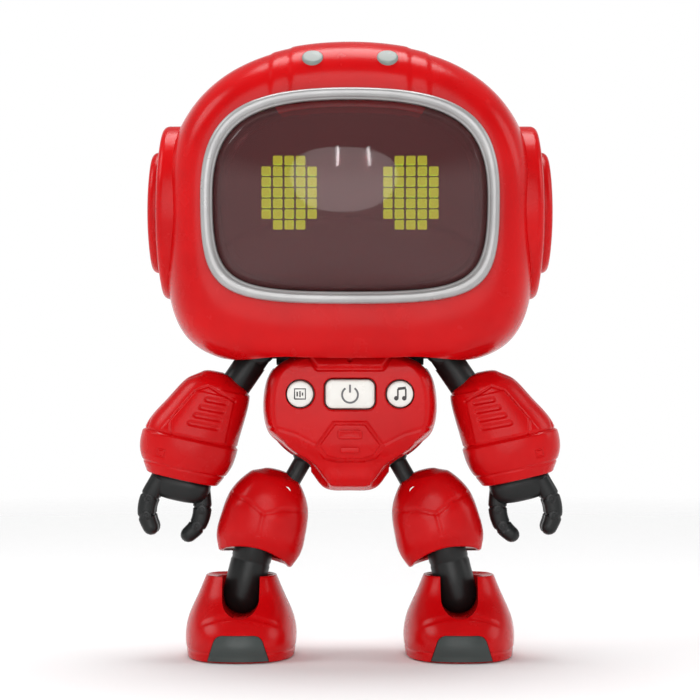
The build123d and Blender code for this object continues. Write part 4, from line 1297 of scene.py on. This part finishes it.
def build_feet():
    count = 288
    heights = [0.3, 0.38, 0.55, 0.8] + list(np.linspace(1.1, 16.3, 96)) + [16.4]
    outer = displaced(foot_grid(heights, count), foot_relief, (FOOT_X, 0, 7))
    turn = around(count)
    cup = []
    for a in (90, 78, 66, 54, 42, 30, 18, 8, 0):
        radius = CUP_RADIUS * cos(radians(a)) + 0.01
        cup.append(ring_of(ANKLE[0] + radius * np.cos(turn), radius * np.sin(turn),
                           ANKLE[1] - CUP_RADIUS * sin(radians(a))))
    cup.append(cup[-1] + (0, 0, 3.6))
    rim = [resized(outer[-1], size, lift)
           for size, lift in ((0.88, 0.0), (0.92, 0.15), (0.96, 0.17), (0.988, 0.1))]
    lip = foot_grid([1.5, 0.3], count, 1.0)
    solid = skin(np.concatenate([cup, rim, outer[::-1], lip[::-1]]))
    base = ANKLE[1]
    way = stadium_tube((ANKLE[0], base), 4.4, (0.0, -0.25, 0.1), (8.0, -4.0, 1.3))
    opening = arc_points(ANKLE[0], base, OPENING_RADIUS, 180, 360, 18)
    opening += [(ANKLE[0] + side * (OPENING_RADIUS + 0.1), 30) for side in (1, -1)]
    toe = [(FOOT_X + side * (toe_half_width(z) + 0.1), z + 0.05)
           for side, levels in ((-1, TOE_LEVELS), (1, TOE_LEVELS[::-1])) for z in levels]
    for side, mirrored in SIDES:
        shell = make_piece(side + "_boot", solid, side + "_foot", RED,
                           [side + "_foot_shell"], 40, mirrored)
        shapes = (("post_way", way), ("opening", front_prism(opening, (-30, 0))),
                  ("toe_pocket", front_prism(toe, (-30, -13.5))))
        cut(shell, [make_piece(name, shape, None, RED, mirrored=mirrored)
                    for name, shape in shapes], 40)


build_feet()


def build_toes():
    count = 200
    heights = [0.45, 1.0] + list(np.linspace(1.5, TOE_TOP_Z, 30))
    grid = foot_grid([max(z, 1.5) for z in heights], count, -0.12)
    for side, mirrored in SIDES:
        rings = []
        for z, ring in zip(heights, grid):
            width = toe_half_width(z)
            front = ring[(ring[:, 1] < -8) & (np.abs(ring[:, 0] - FOOT_X) < 9)]
            front = front[np.argsort(front[:, 0])]
            x = np.linspace(-width, width, 41)
            y = np.interp(FOOT_X + x, front[:, 0], front[:, 1])
            strip = [(FOOT_X + a, b, z) for a, b in zip(x, y)]
            strip += [(FOOT_X + a, -14.0, z) for a in x[::-1]]
            rings.append(strip)
        piece = make_piece(side + "_toe_plate", skin(rings), side + "_foot", TOE,
                           [side + "_toe_cap"], 40, mirrored)
        bevel = piece.modifiers.new("soft_edges", "BEVEL")
        bevel.width = 0.25 * MM
        bevel.segments = 3
        bevel.limit_method = "ANGLE"
        bevel.angle_limit = radians(50)


build_toes()


# ---------------------------------------------------------------- CAD nodes that stay, with their finish
def dress_nodes():
    finishes = {
        "shoulder_yoke": BLACK, "neck_screw": STEEL, "button_pad": RUBBER, "main_board": BOARD,
        "battery_cells": STEEL, "battery_contacts": STEEL, "battery_door": RED, "battery_door_screw": STEEL,
        "torso_screws": STEEL, "head_screws": STEEL, "eye_mask_panel": MASK, "eye_light_board": BOARD,
        "speaker": BLACK,
    }
    for side in ("left_", "right_"):
        finishes.update({
            side + "shoulder_knuckle": BLACK, side + "shoulder_pin": STEEL, side + "arm_tube": BLACK,
            side + "hip_link": BLACK, side + "thigh_pins": STEEL, side + "sole_plate": SOLE_RED,
            side + "sole_screw": STEEL,
        })
    for name, material in finishes.items():
        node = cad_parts[name]
        for slot in node.material_slots:
            slot.material = material


dress_nodes()

# ---------------------------------------------------------------- stage, light and camera
PAPER_HALF = 1500.0
LIGHT_AIM = Vector((0, 0, 0.07))
CAMERA_DISTANCE = 0.50
# name, place, size and power of each lamp, in metres and watts
LAMPS = [("key_softbox", (-0.03, -0.62, 0.26), (0.46, 0.56), 1.5),
         ("side_softbox", (-0.60, -0.10, 0.60), (0.4, 0.4), 1.8),
         ("fill_softbox", (0.65, -0.05, 0.40), (0.4, 0.4), 1.0),
         ("top_softbox", (0.0, 0.16, 0.70), (0.5, 0.4), 3.4),
         ("left_strip", (-0.035, -0.45, 0.36), (0.007, 0.16), 0.07),
         ("right_strip", (0.055, -0.45, 0.36), (0.007, 0.16), 0.07)]


def build_stage():
    floor = Solid()
    floor.add([(sx * PAPER_HALF, sy * PAPER_HALF, 0) for sx, sy in ((-1, -1), (1, -1), (1, 1), (-1, 1))],
              [(0, 1, 2, 3)])
    plane = make_piece("studio_floor", floor, None, WHITE)
    material, tree, shader = new_material("studio_paper")
    base = mix_colour(tree, noise(tree, 4.0), (0.88, 0.88, 0.88), (0.86, 0.86, 0.865))
    tree.links.new(base, shader.inputs["Base Color"])
    shader.inputs["Roughness"].default_value = 0.9
    # the paper thins out with distance, so that it meets the walls without a horizon line
    place = tree.nodes.new("ShaderNodeTexCoord")
    reach = tree.nodes.new("ShaderNodeVectorMath")
    reach.operation = "LENGTH"
    tree.links.new(place.outputs["Object"], reach.inputs[0])
    tree.links.new(remap(tree, reach.outputs["Value"], 1.0, 0.0, 0.14, 0.55), shader.inputs["Alpha"])
    plane.data.materials.clear()
    plane.data.materials.append(material)
    world = bpy.data.worlds.new("studio")
    world.use_nodes = True
    tree = world.node_tree
    # white walls, and a dimmer ceiling that the lamps stand out against
    place = tree.nodes.new("ShaderNodeTexCoord")
    split = tree.nodes.new("ShaderNodeSeparateXYZ")
    tree.links.new(place.outputs["Generated"], split.inputs["Vector"])
    background = tree.nodes["Background"]
    tree.links.new(remap(tree, split.outputs["Z"], 1.0, 0.25, 0.18, 0.42), background.inputs["Strength"])
    background.inputs["Color"].default_value = (1.0, 1.0, 1.0, 1.0)
    bpy.context.scene.world = world
    bpy.context.scene.view_settings.view_transform = "Standard"
    for name, place, size, power in LAMPS:
        light = bpy.data.lights.new(name, "AREA")
        light.shape = "ELLIPSE"
        light.size, light.size_y = size
        light.energy = power
        lamp = bpy.data.objects.new(name, light)
        COLLECTION.objects.link(lamp)
        lamp.location = place
        aim = LIGHT_AIM - Vector(place)
        lamp.rotation_euler = aim.to_track_quat("-Z", "Y").to_euler()


def build_camera():
    low, high = cad_box
    middle = (low[2] + high[2]) / 2
    camera = bpy.data.cameras.new("camera")
    camera.sensor_width = 36.0
    camera.lens = 124.0
    eye = bpy.data.objects.new("camera", camera)
    COLLECTION.objects.link(eye)
    eye.location = (0.0, -CAMERA_DISTANCE, middle)
    eye.rotation_euler = (radians(90), 0, 0)
    bpy.context.scene.camera = eye


build_stage()
build_camera()
